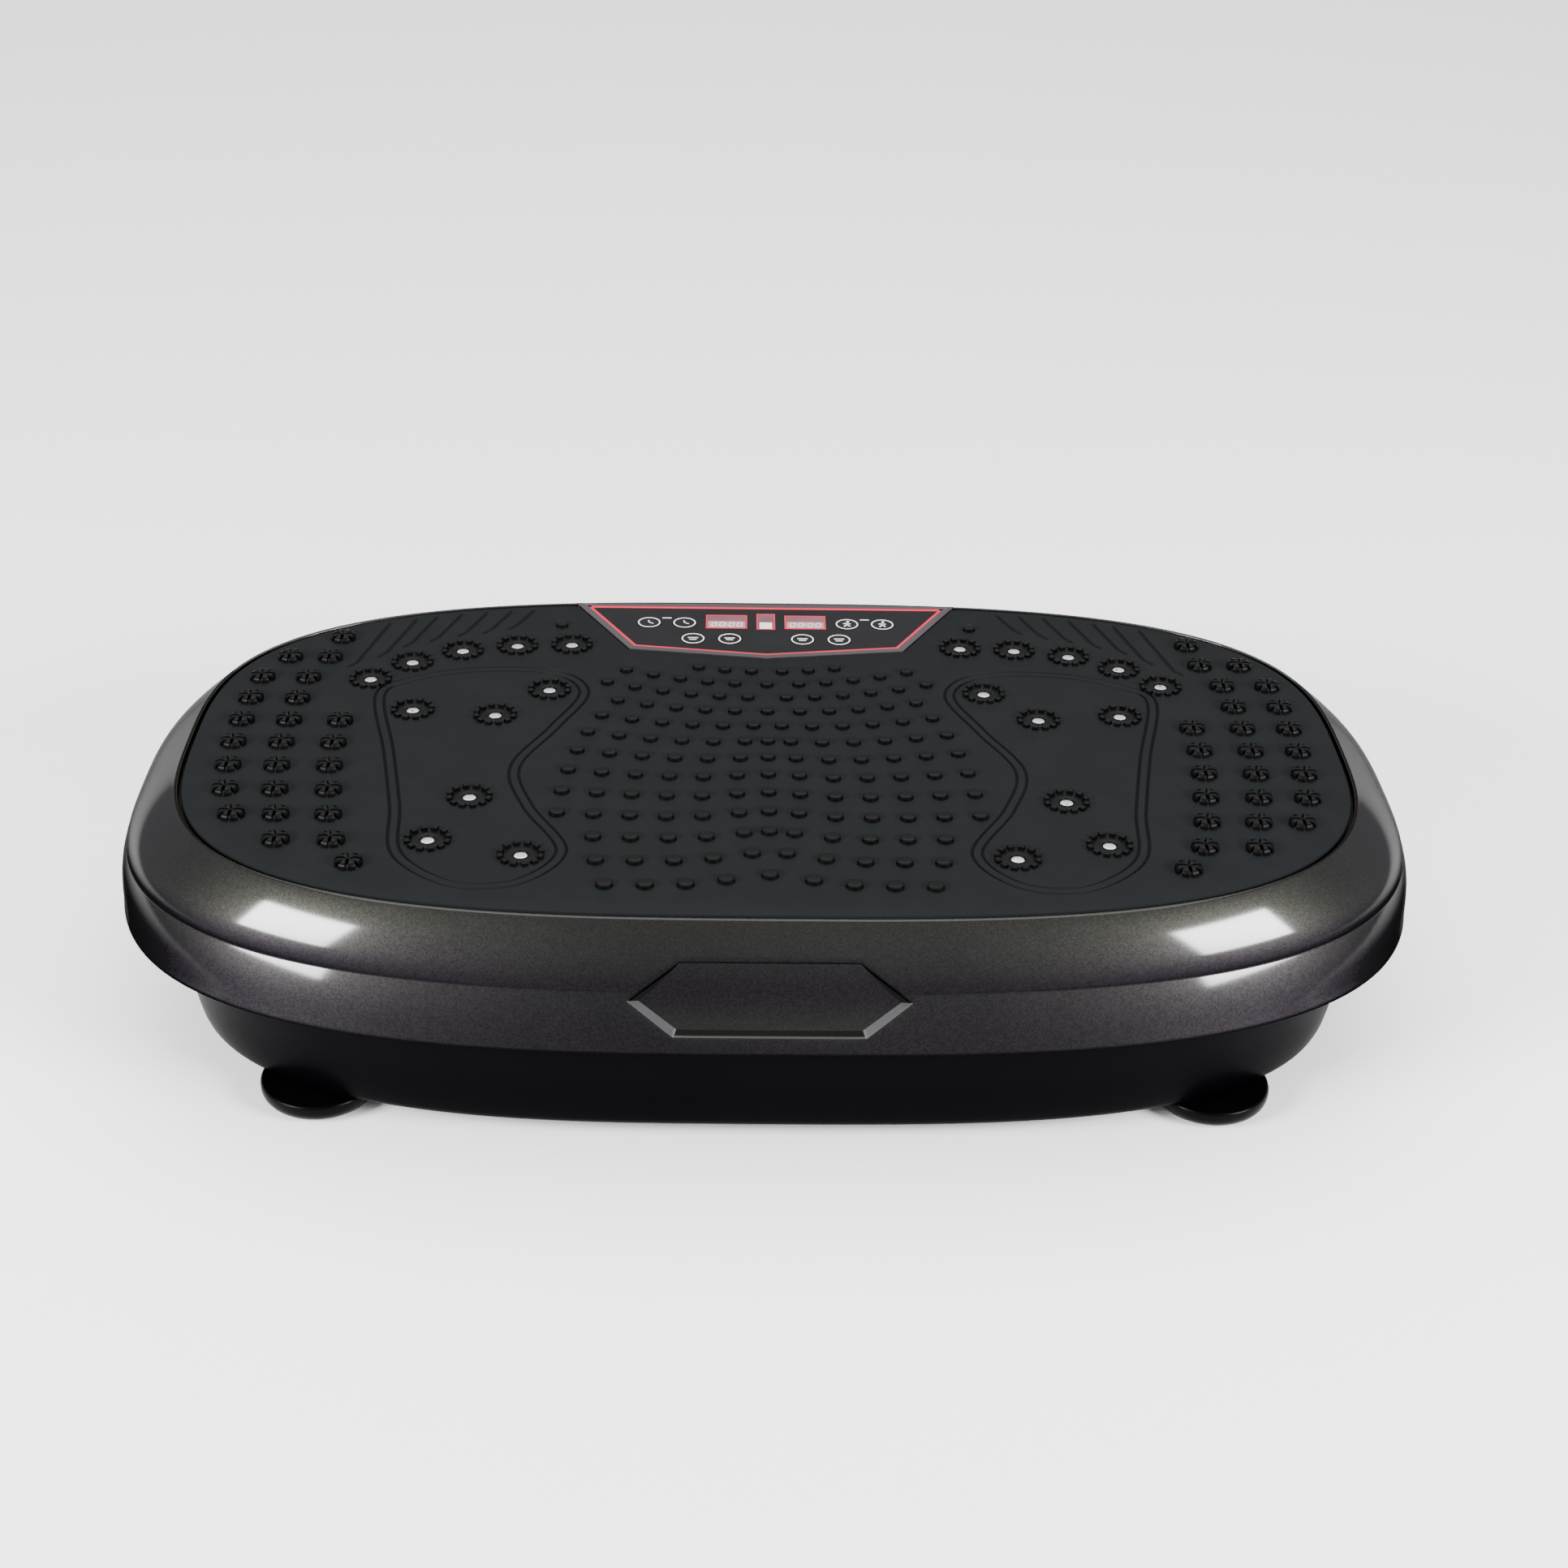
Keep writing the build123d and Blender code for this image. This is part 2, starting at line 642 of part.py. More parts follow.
rx, rz = rocker_half
rocker_swing = 14.0
rocker_length = 7.4
rocker_cavity = 9.2
rocker_axis_y = pad_y - 1.0
housing = block(switch_x - rx, switch_x + rx, pad_y - 18, pad_y, socket_z - rz, socket_z + rz)
housing += block(
    switch_x - rx - 2, switch_x + rx + 2, pad_y, pad_y + 1.8, socket_z - rz - 2, socket_z + rz + 2
)
housing -= block(
    switch_x - rocker_cavity, switch_x + rocker_cavity, pad_y - 9, pad_y + 3,
    socket_z - rz + 1.5, socket_z + rz - 1.5,
)
axle_radius = 1.2
axle = post(switch_x, rocker_axis_y, socket_z - rz + 1, socket_z + rz - 1, axle_radius)
housing -= post(
    switch_x, rocker_axis_y, socket_z - rz + 0.9, socket_z + rz - 0.9, axle_radius + running_gap
)
parts["switch_housing"] = housing
# the two faces meet at the middle, turned by the swing, so that either end can stand proud
rise = rocker_length * math.tan(math.radians(rocker_swing / 2))
rocker_shape = make_face(
    Polyline(
        (-rocker_length, -3.0), (rocker_length, -3.0), (rocker_length, 3.4 - rise),
        (0, 3.4), (-rocker_length, 3.4 + rise), close=True,
    )
)
rocker = extrude(
    Pos(switch_x, rocker_axis_y, socket_z - rz + 2) * rocker_shape, 2 * (rz - 2), dir=(0, 0, 1)
)
parts["power_rocker"] = rocker + axle

parts["base_bowl"] = bowl
parts["base_plate"] = base_plate
group("machine_screws", screw_solids)

# ---- deck frame, drive clevis and pin ----

frame = block(
    -frame_half_length, frame_half_length, -frame_half_width, frame_half_width, frame_under_z, frame_top_z
)
for side in (-1, 1):
    y0 = min(side * frame_half_width, side * (frame_half_width - frame_thick))
    frame += block(
        -frame_half_length, frame_half_length, y0, y0 + frame_thick, frame_under_z - frame_lip, frame_under_z
    )
lug_y0 = pivot_y + bracket_thick / 2 + bush_flange + 0.5
lug_shape = make_face(
    Polyline((-22, frame_under_z), (22, frame_under_z), (12, pivot_z), (-12, pivot_z), close=True)
)
lug = plate_xz(lug_shape, lug_y0, lug_y0 + lug_thick) + bar_y(0, pivot_z, lug_y0, lug_y0 + lug_thick, 12)
lug -= bar_y(0, pivot_z, lug_y0 - 1, lug_y0 + lug_thick + 1, pivot_radius)
frame += lug
frame += mirror(lug, Plane.XZ)

clevis_gap = 3.0
cheek_thick = 3.0
clevis_half = 14.0
cheek_in = rod_thick / 2 + clevis_gap
cheek_out = cheek_in + cheek_thick
clevis = block(
    drive_x - clevis_half, drive_x + clevis_half, rod_y - cheek_out, rod_y + cheek_out,
    frame_under_z - cheek_thick, frame_under_z,
)
for side in (-1, 1):
    y0 = min(rod_y + side * cheek_in, rod_y + side * cheek_out)
    cheek = block(
        drive_x - clevis_half, drive_x + clevis_half, y0, y0 + cheek_thick,
        pivot_z, frame_under_z - cheek_thick,
    )
    clevis += cheek + bar_y(drive_x, pivot_z, y0, y0 + cheek_thick, clevis_half)
clevis -= bar_y(drive_x, pivot_z, rod_y - cheek_out - 1, rod_y + cheek_out + 1, drive_pin_radius)
parts["drive_clevis"] = clevis
parts["drive_pin"] = bar_y(drive_x, pivot_z, rod_y - cheek_out - 2, rod_y + cheek_out + 2, drive_pin_radius)

# ---- top shell ----

shoulder = [
    (0, skirt_z),
    (crease_inset, crease_z),
    (crease_inset + 5, crease_z + crease_drop * 0.37),
    (crease_inset + 11, crease_z + crease_drop * 0.68),
    (lip_inset - 2, mat_top_z - 2),
    (lip_inset, mat_top_z),
]
shell_body = skin([deck_outline(*section) for section in shoulder])
shell = shell_body - skin(
    [
        deck_outline(shell_wall, skirt_z),
        deck_outline(crease_inset + shell_wall, crease_z - shell_wall / 2),
        deck_outline(mat_inset + 1, deck_under_z),
    ]
)
recess = make_face(deck_outline(mat_inset - mat_gap, mat_bottom_z))
shell -= extrude(recess, mat_thick + 5, dir=(0, 0, 1))

tub = prism(panel_outline(panel_gap + tub_wall), tub_floor_z - tub_wall, mat_bottom_z) & shell_body
shell += tub
shell -= prism(panel_outline(panel_gap), tub_floor_z, mat_top_z + 5)

# elongated hexagon sunk into the front, half above and half below the crease
badge_top_z = mat_top_z - 18.0
badge_bottom_z = mat_top_z - 49.0
badge_top_inset = 20.0
badge_bottom_inset = 3.3
badge_depth = 3.0
badge_backing = 3.0
badge_half = {"top": 42.5, "middle": 66.5, "bottom": 45.0}
badge_middle_share = 0.52
badge_top = Vector(0, -(deck_half_width - badge_top_inset), badge_top_z)
badge_bottom = Vector(0, -(deck_half_width - badge_bottom_inset), badge_bottom_z)
badge_up = (badge_top - badge_bottom).normalized()
badge_tall = (badge_top - badge_bottom).length
badge_out = Vector(1, 0, 0).cross(badge_up)
badge_floor = Plane(origin=badge_bottom - badge_out * badge_depth, x_dir=(1, 0, 0), z_dir=badge_out)


def badge_shape(grow):
    middle = badge_tall * (1 - badge_middle_share)
    half = [
        (badge_half["bottom"] + grow, -grow),
        (badge_half["middle"] + 1.6 * grow, middle),
        (badge_half["top"] + grow, badge_tall + grow),
    ]
    return make_face(Polyline(*half, *[(-x, y) for x, y in reversed(half)], close=True))


backing = extrude(badge_floor.offset(-badge_backing) * badge_shape(badge_backing), badge_depth + badge_backing)
shell += backing & shell_body
shell -= extrude(badge_floor * badge_shape(0), badge_depth * 5)

pillar_radius = 6.0
shell_screw_radius = 2.0
pillar_places = [(x, y) for x in (-186, -62, 62, 186) for y in (-84, 84)]
shell_screws = []
for x, y in pillar_places:
    shell += post(x, y, frame_top_z, deck_under_z, pillar_radius)
    shell -= post(x, y, frame_top_z - 1, deck_under_z, shell_screw_radius)
    frame -= post(x, y, frame_under_z - 1, frame_top_z + 1, shell_screw_radius)
    shell_screws.append(screw_up(x, y, frame_under_z, deck_under_z, shell_screw_radius))
parts["deck_frame"] = frame
group("shell_screws", shell_screws)

# ---- rubber mat, its massage nodules and the magnets ----

ring_places = [
    (217, 70), (196.5, 91), (170, 106), (140, 113), (109.5, 115), (118.5, 59),
    (190, 34), (145.5, 29), (151, -60), (167.5, -103), (121, -116.5),
]
pattern_half_length = 300.0
pattern_half_width = 170.0


def on_mat(x, y):
    """Place a point of the pattern, drawn for a 600 by 340 mat, on this mat."""
    return (x * mat_half_length / pattern_half_length, y * mat_half_width / pattern_half_width)


def mat_edge_x(y):
    return mat_half_length * (1 - abs(y / mat_half_width) ** 3) ** (1 / 3)


# each row of domes: its place along Y and how far in from the mat's edge each dome is
dome_rows = [
    (120, (21,)),
    (95, (17, 39)),
    (70, (17, 42)),
    (45, (20, 45)),
    (20, (21, 46, 73)),
    (-5, (21, 46, 73)),
    (-30, (22, 47, 74)),
    (-55, (22, 47, 74)),
    (-80, (22, 44, 70)),
    (-105, (33, 60)),
    (-126, (49,)),
]
# each row of small bumps, back to front: how many, and where the first beside the middle is
bump_rows = [
    (6, 8.5), (11, 17.5), (12, 10.5), (11, 17.5), (12, 7.5), (13, 12), (13, 14.5),
    (13, 16), (13, 16), (13, 15), (11, 12.5), (10, 8.5), (9, 21),
]
bump_pitch = 14.6
bump_pitch_growth = 0.4
bump_back_gap = 18.0
bump_front_gap = 26.0
row_gap = 15.8
row_gap_growth = 0.285


def bump_places():
    """Rows that curve up at their ends at the back and rise to a point in front."""
    places = []
    last = len(bump_rows) - 1
    back_y = panel_front_y - bump_back_gap
    front_y = -(mat_half_width - bump_front_gap)
    full = row_gap * last + row_gap_growth * last * (last - 1)
    for k, (count, first) in enumerate(bump_rows):
        share = (row_gap * k + row_gap_growth * k * (k - 1)) / full
        row_y = back_y + (front_y - back_y) * share
        rise_y = 25.0 * (1 - k / last) ** 1.6
        hump = max(0.9 * k - 1, 0)
        pitch = bump_pitch + bump_pitch_growth * k
        xs = [first + i * pitch for i in range(count // 2)]
        for x in ([0] if count % 2 else []) + xs + [-x for x in xs]:
            y = row_y + rise_y * (x / 90) ** 2 + hump * math.exp(-((x / 26) ** 2))
            places.append((on_mat(x, 0)[0], y))
    places += both_sides([on_mat(116.5, 139.5)])
    return places


mat_shape = make_face(deck_outline(mat_inset, mat_bottom_z))
mat = extrude(mat_shape, mat_thick, dir=(0, 0, 1))
mat -= prism(panel_outline(panel_gap + 0.5), mat_bottom_z - 1, mat_top_z + 1)

rings = [(sx * on_mat(x, y)[0], on_mat(x, y)[1]) for x, y in ring_places for sx in (-1, 1)]
domes = []
for y, insets in dome_rows:
    place_y = y * mat_half_width / pattern_half_width
    domes += both_sides([(mat_edge_x(place_y) - inset, place_y) for inset in insets])

nodules = [post(x, y, mat_top_z - 0.5, mat_top_z + ring_height, ring_radius) for x, y in rings]
for x, y in domes:
    dome = Pos(x, y, mat_top_z + dome_height / 2) * Cone(dome_radius, dome_radius * 0.6, dome_height)
    nodules.append(dome)
for x, y in bump_places():
    nodules.append(Pos(x, y, mat_top_z + bump_height / 2) * Cone(bump_radius, bump_radius * 0.7, bump_height))
mat = mat + nodules
magnet_z = mat_top_z - 0.5
mat = mat - [post(x, y, magnet_z, mat_top_z + 5, magnet_radius) for x, y in rings]
parts["rubber_mat"] = mat
group("mat_magnets", [post(x, y, magnet_z, magnet_z + magnet_height, magnet_radius) for x, y in rings])

# ---- control panel ----

bezel = prism(panel_outline(0), tub_floor_z, mat_top_z)
bezel -= prism(panel_outline(-bezel_width), overlay_bottom_z, mat_top_z + 1)
bezel -= prism(panel_outline(-bezel_width - trim_width - ledge_width), tub_floor_z - 1, overlay_bottom_z + 1)
bezel = bezel & shell_body

trim_z = panel_face_z + 0.3
trim = prism(panel_outline(-bezel_width), overlay_bottom_z, trim_z)
trim -= prism(panel_outline(-bezel_width - trim_width), overlay_bottom_z - 1, trim_z + 1)
parts["panel_trim"] = trim

key_upper_y = panel_back_y - 25.0
key_lower_y = panel_back_y - 45.5
key_places = {
    "key_time_down": (-67, key_upper_y),
    "key_time_up": (-46.7, key_upper_y),
    "key_speed_down": (46.7, key_upper_y),
    "key_speed_up": (67, key_upper_y),
    "key_power": (-41.5, key_lower_y),
    "key_program": (-20.7, key_lower_y),
    "key_mode": (20.7, key_lower_y),
    "key_start": (41.5, key_lower_y),
}
display_half = (11.5, 8.5)
display_places = [(-22.6, key_upper_y + 2), (22.6, key_upper_y + 2)]
receiver_half = (5.0, 10.0)
receiver_place = (0, key_upper_y + 2.5)
window_gap = 0.1

overlay = prism(panel_outline(-bezel_width - trim_width - window_gap), overlay_bottom_z, panel_face_z)
windows = []
displays = []
for x, y in display_places:
    hx, hy = display_half
    overlay -= block(x - hx, x + hx, y - hy, y + hy, overlay_bottom_z - 1, panel_face_z + 1)
    hx -= window_gap
    hy -= window_gap
    windows.append(block(x - hx, x + hx, y - hy, y + hy, overlay_bottom_z, panel_face_z))
    displays.append(block(x - hx, x + hx, y - hy, y + hy, board_top_z, overlay_bottom_z))
x, y = receiver_place
hx, hy = receiver_half
overlay -= block(x - hx, x + hx, y - hy, y + hy, overlay_bottom_z - 1, panel_face_z + 1)
hx -= window_gap
hy -= window_gap
parts["receiver_window"] = block(x - hx, x + hx, y - hy, y + hy, overlay_bottom_z, panel_face_z)
group("display_windows", windows)
group("display_modules", displays)

flange_reach = 1.2
switch_half = 3.0
switches = []
for name, (x, y) in key_places.items():
    overlay -= post(x, y, overlay_bottom_z - 1, panel_face_z + 1, key_radius + key_gap)
    key = post(x, y, key_flange_top_z - 1, panel_face_z + 0.2, key_radius)
    key += post(x, y, key_flange_top_z - 1, key_flange_top_z, key_radius + flange_reach)
    parts[name] = key
    bezel -= post(x, y, board_top_z, overlay_bottom_z, key_radius + flange_reach + key_gap)
    switch_top_z = board_top_z + switch_height
    switches.append(
        block(x - switch_half, x + switch_half, y - switch_half, y + switch_half, board_top_z, switch_top_z)
    )
parts["panel_bezel"] = bezel
parts["panel_overlay"] = overlay
group("key_switches", switches)

board_inset = bezel_width + trim_width + ledge_width + 1.0
parts["panel_board"] = prism(panel_outline(-board_inset), board_top_z - board_thick, board_top_z)
for x, y in ((-60, key_upper_y + 8), (60, key_upper_y + 8), (-30, key_lower_y - 4), (30, key_lower_y - 4)):
    shell += post(x, y, tub_floor_z - 0.5, board_top_z - board_thick, 2.5)
parts["top_shell"] = shell

os.makedirs("parts", exist_ok=True)
for name, shape in parts.items():
    export_step(shape, os.path.join("parts", name + ".step"))
print(len(parts), "nodes")
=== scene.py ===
import json
import math
import bpy
import bmesh
import numpy as np
from mathutils import Matrix, Vector
from mathutils.geometry import delaunay_2d_cdt


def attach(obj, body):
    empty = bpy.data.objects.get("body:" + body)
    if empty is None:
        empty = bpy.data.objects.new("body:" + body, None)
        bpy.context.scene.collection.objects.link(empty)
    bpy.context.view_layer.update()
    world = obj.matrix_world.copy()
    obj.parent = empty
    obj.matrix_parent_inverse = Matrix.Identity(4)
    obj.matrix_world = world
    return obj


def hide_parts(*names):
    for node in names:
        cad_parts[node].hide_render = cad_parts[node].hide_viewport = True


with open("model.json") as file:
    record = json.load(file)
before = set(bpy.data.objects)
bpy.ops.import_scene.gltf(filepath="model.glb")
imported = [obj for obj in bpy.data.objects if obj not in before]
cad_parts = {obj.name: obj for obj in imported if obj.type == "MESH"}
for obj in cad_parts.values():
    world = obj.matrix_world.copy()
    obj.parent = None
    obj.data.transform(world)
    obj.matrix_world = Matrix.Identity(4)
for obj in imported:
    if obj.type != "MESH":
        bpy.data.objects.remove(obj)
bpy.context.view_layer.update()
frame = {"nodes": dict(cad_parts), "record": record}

mm = 0.001
matTop = 127.0  # mm above the floor, as everything below
floorSize = 14.0
print("frame loaded")


# ---- mesh helpers: everything is worked out in mm and stored in metres ----

def gridFaces(rows, columns, closed=True):
    # quads between neighbouring rows of a grid whose columns may close round
    i = np.arange(rows - 1)[:, None] * columns
    j = np.arange(columns if closed else columns - 1)[None, :]
    right = (j + 1) % columns
    return np.stack([i + j, i + right, i + columns + right, i + columns + j], -1).reshape(-1, 4)


def fanFaces(first, columns, pole):
    # triangles from one ring of a grid to a single closing point
    j = np.arange(columns)
    return np.stack([first + j, first + (j + 1) % columns, np.full(columns, pole)], -1)


def mergeMesh(mesh, gap, dropLoose=False):
    # points closer than the gap, in metres, become one, then the faces are turned outwards
    work = bmesh.new()
    work.from_mesh(mesh)
    bmesh.ops.remove_doubles(work, verts=work.verts, dist=gap)
    if dropLoose:
        bmesh.ops.delete(work, geom=[v for v in work.verts if not v.link_faces], context="VERTS")
    bmesh.ops.recalc_face_normals(work, faces=work.faces)
    work.to_mesh(mesh)
    work.free()


def makePiece(name, chunks, body, material, sharp=35, outward=True):
    # chunks are (points, list of face arrays); they become one mesh that rides on a body
    points, faces, start = [], [], 0
    for chunkPoints, chunkFaces in chunks:
        points.append(np.asarray(chunkPoints, float))
        for block in chunkFaces:
            faces += (np.asarray(block) + start).tolist()
        start += len(chunkPoints)
    mesh = bpy.data.meshes.new(name)
    mesh.from_pydata((np.concatenate(points) * mm).tolist(), [], faces)
    if outward:
        mergeMesh(mesh, 1e-6)
    mesh.polygons.foreach_set("use_smooth", [True] * len(mesh.polygons))
    mesh.set_sharp_from_angle(angle=math.radians(sharp))
    mesh.materials.append(material)
    piece = bpy.data.objects.new(name, mesh)
    bpy.context.scene.collection.objects.link(piece)
    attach(piece, body)
    return piece


def ringChunk(rings, capStart=True, capEnd=True):
    # stacked closed rings of the same count, closed at both ends by their middle points
    rings = np.asarray(rings, float)
    rows, columns = rings.shape[:2]
    points = rings.reshape(-1, 3)
    faces = [gridFaces(rows, columns)]
    if capStart:
        faces.append(fanFaces(0, columns, len(points))[:, ::-1])
        points = np.vstack([points, rings[0].mean(0)])
    if capEnd:
        faces.append(fanFaces((rows - 1) * columns, columns, len(points)))
        points = np.vstack([points, rings[-1].mean(0)])
    return points, faces


def turned(profile, x, y, z, columns=48):
    # a profile of (radius, height) turned about the vertical through x, y
    turn = np.linspace(0, 2 * np.pi, columns, endpoint=False)
    profile = np.asarray(profile, float)
    ringX = x + profile[:, :1] * np.cos(turn)
    ringY = y + profile[:, :1] * np.sin(turn)
    ringZ = z + np.repeat(profile[:, 1:2], columns, 1)
    return ringChunk(np.stack([ringX, ringY, ringZ], -1))


def bezier(a, b, c, d, count):
    # cubic curve from a to d, pulled towards b and c
    t = np.linspace(0, 1, count)[:, None]
    a, b, c, d = (np.asarray(p, float) for p in (a, b, c, d))
    return a * (1 - t) ** 3 + 3 * b * t * (1 - t) ** 2 + 3 * c * t**2 * (1 - t) + d * t**3


def smoothLoop(points, perSpan):
    # closed Catmull-Rom curve through the points
    p = np.asarray(points, float)
    before, after, beyond = np.roll(p, 1, 0), np.roll(p, -1, 0), np.roll(p, -2, 0)
    t = np.linspace(0, 1, perSpan, endpoint=False)[None, :, None]
    p, before, after, beyond = (q[:, None, :] for q in (p, before, after, beyond))
    curve = 0.5 * (
        2 * p + (after - before) * t + (2 * before - 5 * p + 4 * after - beyond) * t**2
        + (3 * p - before - 3 * after + beyond) * t**3
    )
    return curve.reshape(-1, 2)


def shifted(path, distance, closed=True):
    # path moved sideways, to its left as it runs, each corner mitred
    path = np.asarray(path, float)
    ahead = np.roll(path, -1, 0) - path
    behind = path - np.roll(path, 1, 0)
    if not closed:
        ahead[-1] = behind[-1]
        behind[0] = ahead[0]
    ahead /= np.linalg.norm(ahead, axis=1, keepdims=True)
    behind /= np.linalg.norm(behind, axis=1, keepdims=True)
    normal = np.stack([-(ahead + behind)[:, 1], (ahead + behind)[:, 0]], -1) / 2
    normal /= np.maximum((normal**2).sum(1, keepdims=True), 0.3)
    return path + normal * distance


def inside(points, loop):
    # even-odd test of many points against one closed loop
    x, y = points[:, 0][:, None], points[:, 1][:, None]
    x0, y0 = loop[:, 0][None, :], loop[:, 1][None, :]
    x1, y1 = np.roll(loop[:, 0], -1)[None, :], np.roll(loop[:, 1], -1)[None, :]
    spans = (y0 > y) != (y1 > y)
    crossX = x0 + (y - y0) * (x1 - x0) / np.where(y1 == y0, 1e-12, y1 - y0)
    return (spans & (x < crossX)).sum(1) % 2 == 1


def fillLoops(loose, lines):
    # flat triangulation of loose points and polylines, each line (points, closed) kept as edges
    points = [np.asarray(loose, float).reshape(-1, 2)]
    edges, start = [], len(points[0])
    for line, closed in lines:
        count = len(line)
        last = count if closed else count - 1
        edges += [(start + k, start + (k + 1) % count) for k in range(last)]
        points.append(np.asarray(line, float))
        start += count
    flat = np.concatenate(points)
    made = delaunay_2d_cdt([Vector(p) for p in flat.tolist()], edges, [], 0, 1e-5)
    return np.array([tuple(v) for v in made[0]]), np.array(made[2], int), made[3]


# ---- shader groups ----

def newGroup(name, inputs, outputs):
    group = bpy.data.node_groups.new(name, "ShaderNodeTree")
    for label, kind, value in inputs:
        socket = group.interface.new_socket(name=label, in_out="INPUT", socket_type=kind)
        socket.default_value = value
    for label, kind in outputs:
        group.interface.new_socket(name=label, in_out="OUTPUT", socket_type=kind)
    source = group.nodes.new("NodeGroupInput")
    sink = group.nodes.new("NodeGroupOutput")
    return group, source, sink


def addNode(tree, kind, settings=None, values=None):
    node = tree.nodes.new(kind)
    for key, value in (settings or {}).items():
        setattr(node, key, value)
    for key, value in (values or {}).items():
        node.inputs[key].default_value = value
    return node


def buildGrainGroup():
    # fine grain for bump, and a slow cloud that changes tone and gloss from place to place
    group, source, sink = newGroup(
        "surfaceGrain",
        [("Size", "NodeSocketFloat", 900.0), ("Cloud Size", "NodeSocketFloat", 9.0)],
        [("Grain", "NodeSocketFloat"), ("Cloud", "NodeSocketFloat")],
    )
    place = addNode(group, "ShaderNodeTexCoord")
    fine = addNode(group, "ShaderNodeTexNoise", values={"Detail": 3.0, "Roughness": 0.6})
    cloud = addNode(group, "ShaderNodeTexNoise", values={"Detail": 4.0, "Roughness": 0.55})
    link = group.links.new
    link(place.outputs["Object"], fine.inputs["Vector"])
    link(place.outputs["Object"], cloud.inputs["Vector"])
    link(source.outputs["Size"], fine.inputs["Scale"])
    link(source.outputs["Cloud Size"], cloud.inputs["Scale"])
    link(fine.outputs["Fac"], sink.inputs["Grain"])
    link(cloud.outputs["Fac"], sink.inputs["Cloud"])
    return group


def buildFlakeGroup():
    # one random tint and tilt for each small cell of metallic pigment
    group, source, sink = newGroup(
        "paintFlake",
        [("Size", "NodeSocketFloat", 1500.0)],
        [("Tint", "NodeSocketFloat"), ("Tilt", "NodeSocketFloat")],
    )
    place = addNode(group, "ShaderNodeTexCoord")
    cells = addNode(group, "ShaderNodeTexVoronoi")
    parts = addNode(group, "ShaderNodeSeparateColor")
    link = group.links.new
    link(place.outputs["Object"], cells.inputs["Vector"])
    link(source.outputs["Size"], cells.inputs["Scale"])
    link(cells.outputs["Color"], parts.inputs["Color"])
    link(parts.outputs["Red"], sink.inputs["Tint"])
    link(parts.outputs["Green"], sink.inputs["Tilt"])
    return group


def buildFacingGroup():
    # how far the surface looks up: full on the shoulder, less on flat tops, least on upright walls
    group, source, sink = newGroup(
        "facingUp",
        [("Wall", "NodeSocketFloat", 0.2), ("Slope", "NodeSocketFloat", 1.0),
         ("Top", "NodeSocketFloat", 0.5)],
        [("Polish", "NodeSocketFloat"), ("Up", "NodeSocketFloat"), ("Shade", "NodeSocketFloat")],
    )
    facing = addNode(group, "ShaderNodeNewGeometry")
    axes = addNode(group, "ShaderNodeSeparateXYZ")
    # Up picks the colour: steep faces get the side colour, a painted reflection tint, and faces that look up
    # get the main colour
    up = addNode(group, "ShaderNodeMapRange", values={"From Min": 0.30, "From Max": 0.62})
    rise = addNode(group, "ShaderNodeMapRange", {"interpolation_type": "SMOOTHSTEP"},
                   {"From Min": 0.28, "From Max": 0.60})
    # Shade darkens the colour of steep walls: painted shade
    shade = addNode(group, "ShaderNodeMapRange", {"interpolation_type": "SMOOTHSTEP"},
                    {"From Min": 0.06, "From Max": 0.36})
    fall = addNode(group, "ShaderNodeMapRange", {"interpolation_type": "SMOOTHSTEP"},
                   {"From Min": 0.86, "From Max": 0.99})
    low = addNode(group, "ShaderNodeMix", {"data_type": "FLOAT"})
    high = addNode(group, "ShaderNodeMix", {"data_type": "FLOAT"})
    link = group.links.new
    link(facing.outputs["Normal"], axes.inputs["Vector"])
    for node in (up, rise, fall, shade):
        link(axes.outputs["Z"], node.inputs["Value"])
    link(rise.outputs["Result"], low.inputs[0])
    link(source.outputs["Wall"], low.inputs[2])
    link(source.outputs["Slope"], low.inputs[3])
    link(fall.outputs["Result"], high.inputs[0])
    link(low.outputs[0], high.inputs[2])
    link(source.outputs["Top"], high.inputs[3])
    link(high.outputs[0], sink.inputs["Polish"])
    link(up.outputs["Result"], sink.inputs["Up"])
    link(shade.outputs["Result"], sink.inputs["Shade"])
    return group


def buildDustGroup():
    # pale dust that settles where the surface looks up and a slow noise allows it
    group, source, sink = newGroup(
        "settledDust",
        [("Amount", "NodeSocketFloat", 0.2)],
        [("Mask", "NodeSocketFloat")],
    )
    facing = addNode(group, "ShaderNodeNewGeometry")
    axes = addNode(group, "ShaderNodeSeparateXYZ")
    place = addNode(group, "ShaderNodeTexCoord")
    noise = addNode(group, "ShaderNodeTexNoise", values={"Scale": 38.0, "Detail": 6.0, "Roughness": 0.7})
    up = addNode(group, "ShaderNodeMapRange", values={"From Min": 0.35, "From Max": 1.0})
    spots = addNode(group, "ShaderNodeMapRange", values={"From Min": 0.42, "From Max": 0.78})
    both = addNode(group, "ShaderNodeMath", {"operation": "MULTIPLY"})
    scaled = addNode(group, "ShaderNodeMath", {"operation": "MULTIPLY"})
    link = group.links.new
    link(facing.outputs["Normal"], axes.inputs["Vector"])
    link(axes.outputs["Z"], up.inputs["Value"])
    link(place.outputs["Object"], noise.inputs["Vector"])
    link(noise.outputs["Fac"], spots.inputs["Value"])
    link(up.outputs["Result"], both.inputs[0])
    link(spots.outputs["Result"], both.inputs[1])
    link(both.outputs["Value"], scaled.inputs[0])
    link(source.outputs["Amount"], scaled.inputs[1])
    link(scaled.outputs["Value"], sink.inputs["Mask"])
    return group


grainGroup = buildGrainGroup()
flakeGroup = buildFlakeGroup()
dustGroup = buildDustGroup()
facingGroup = buildFacingGroup()


# ---- materials ----

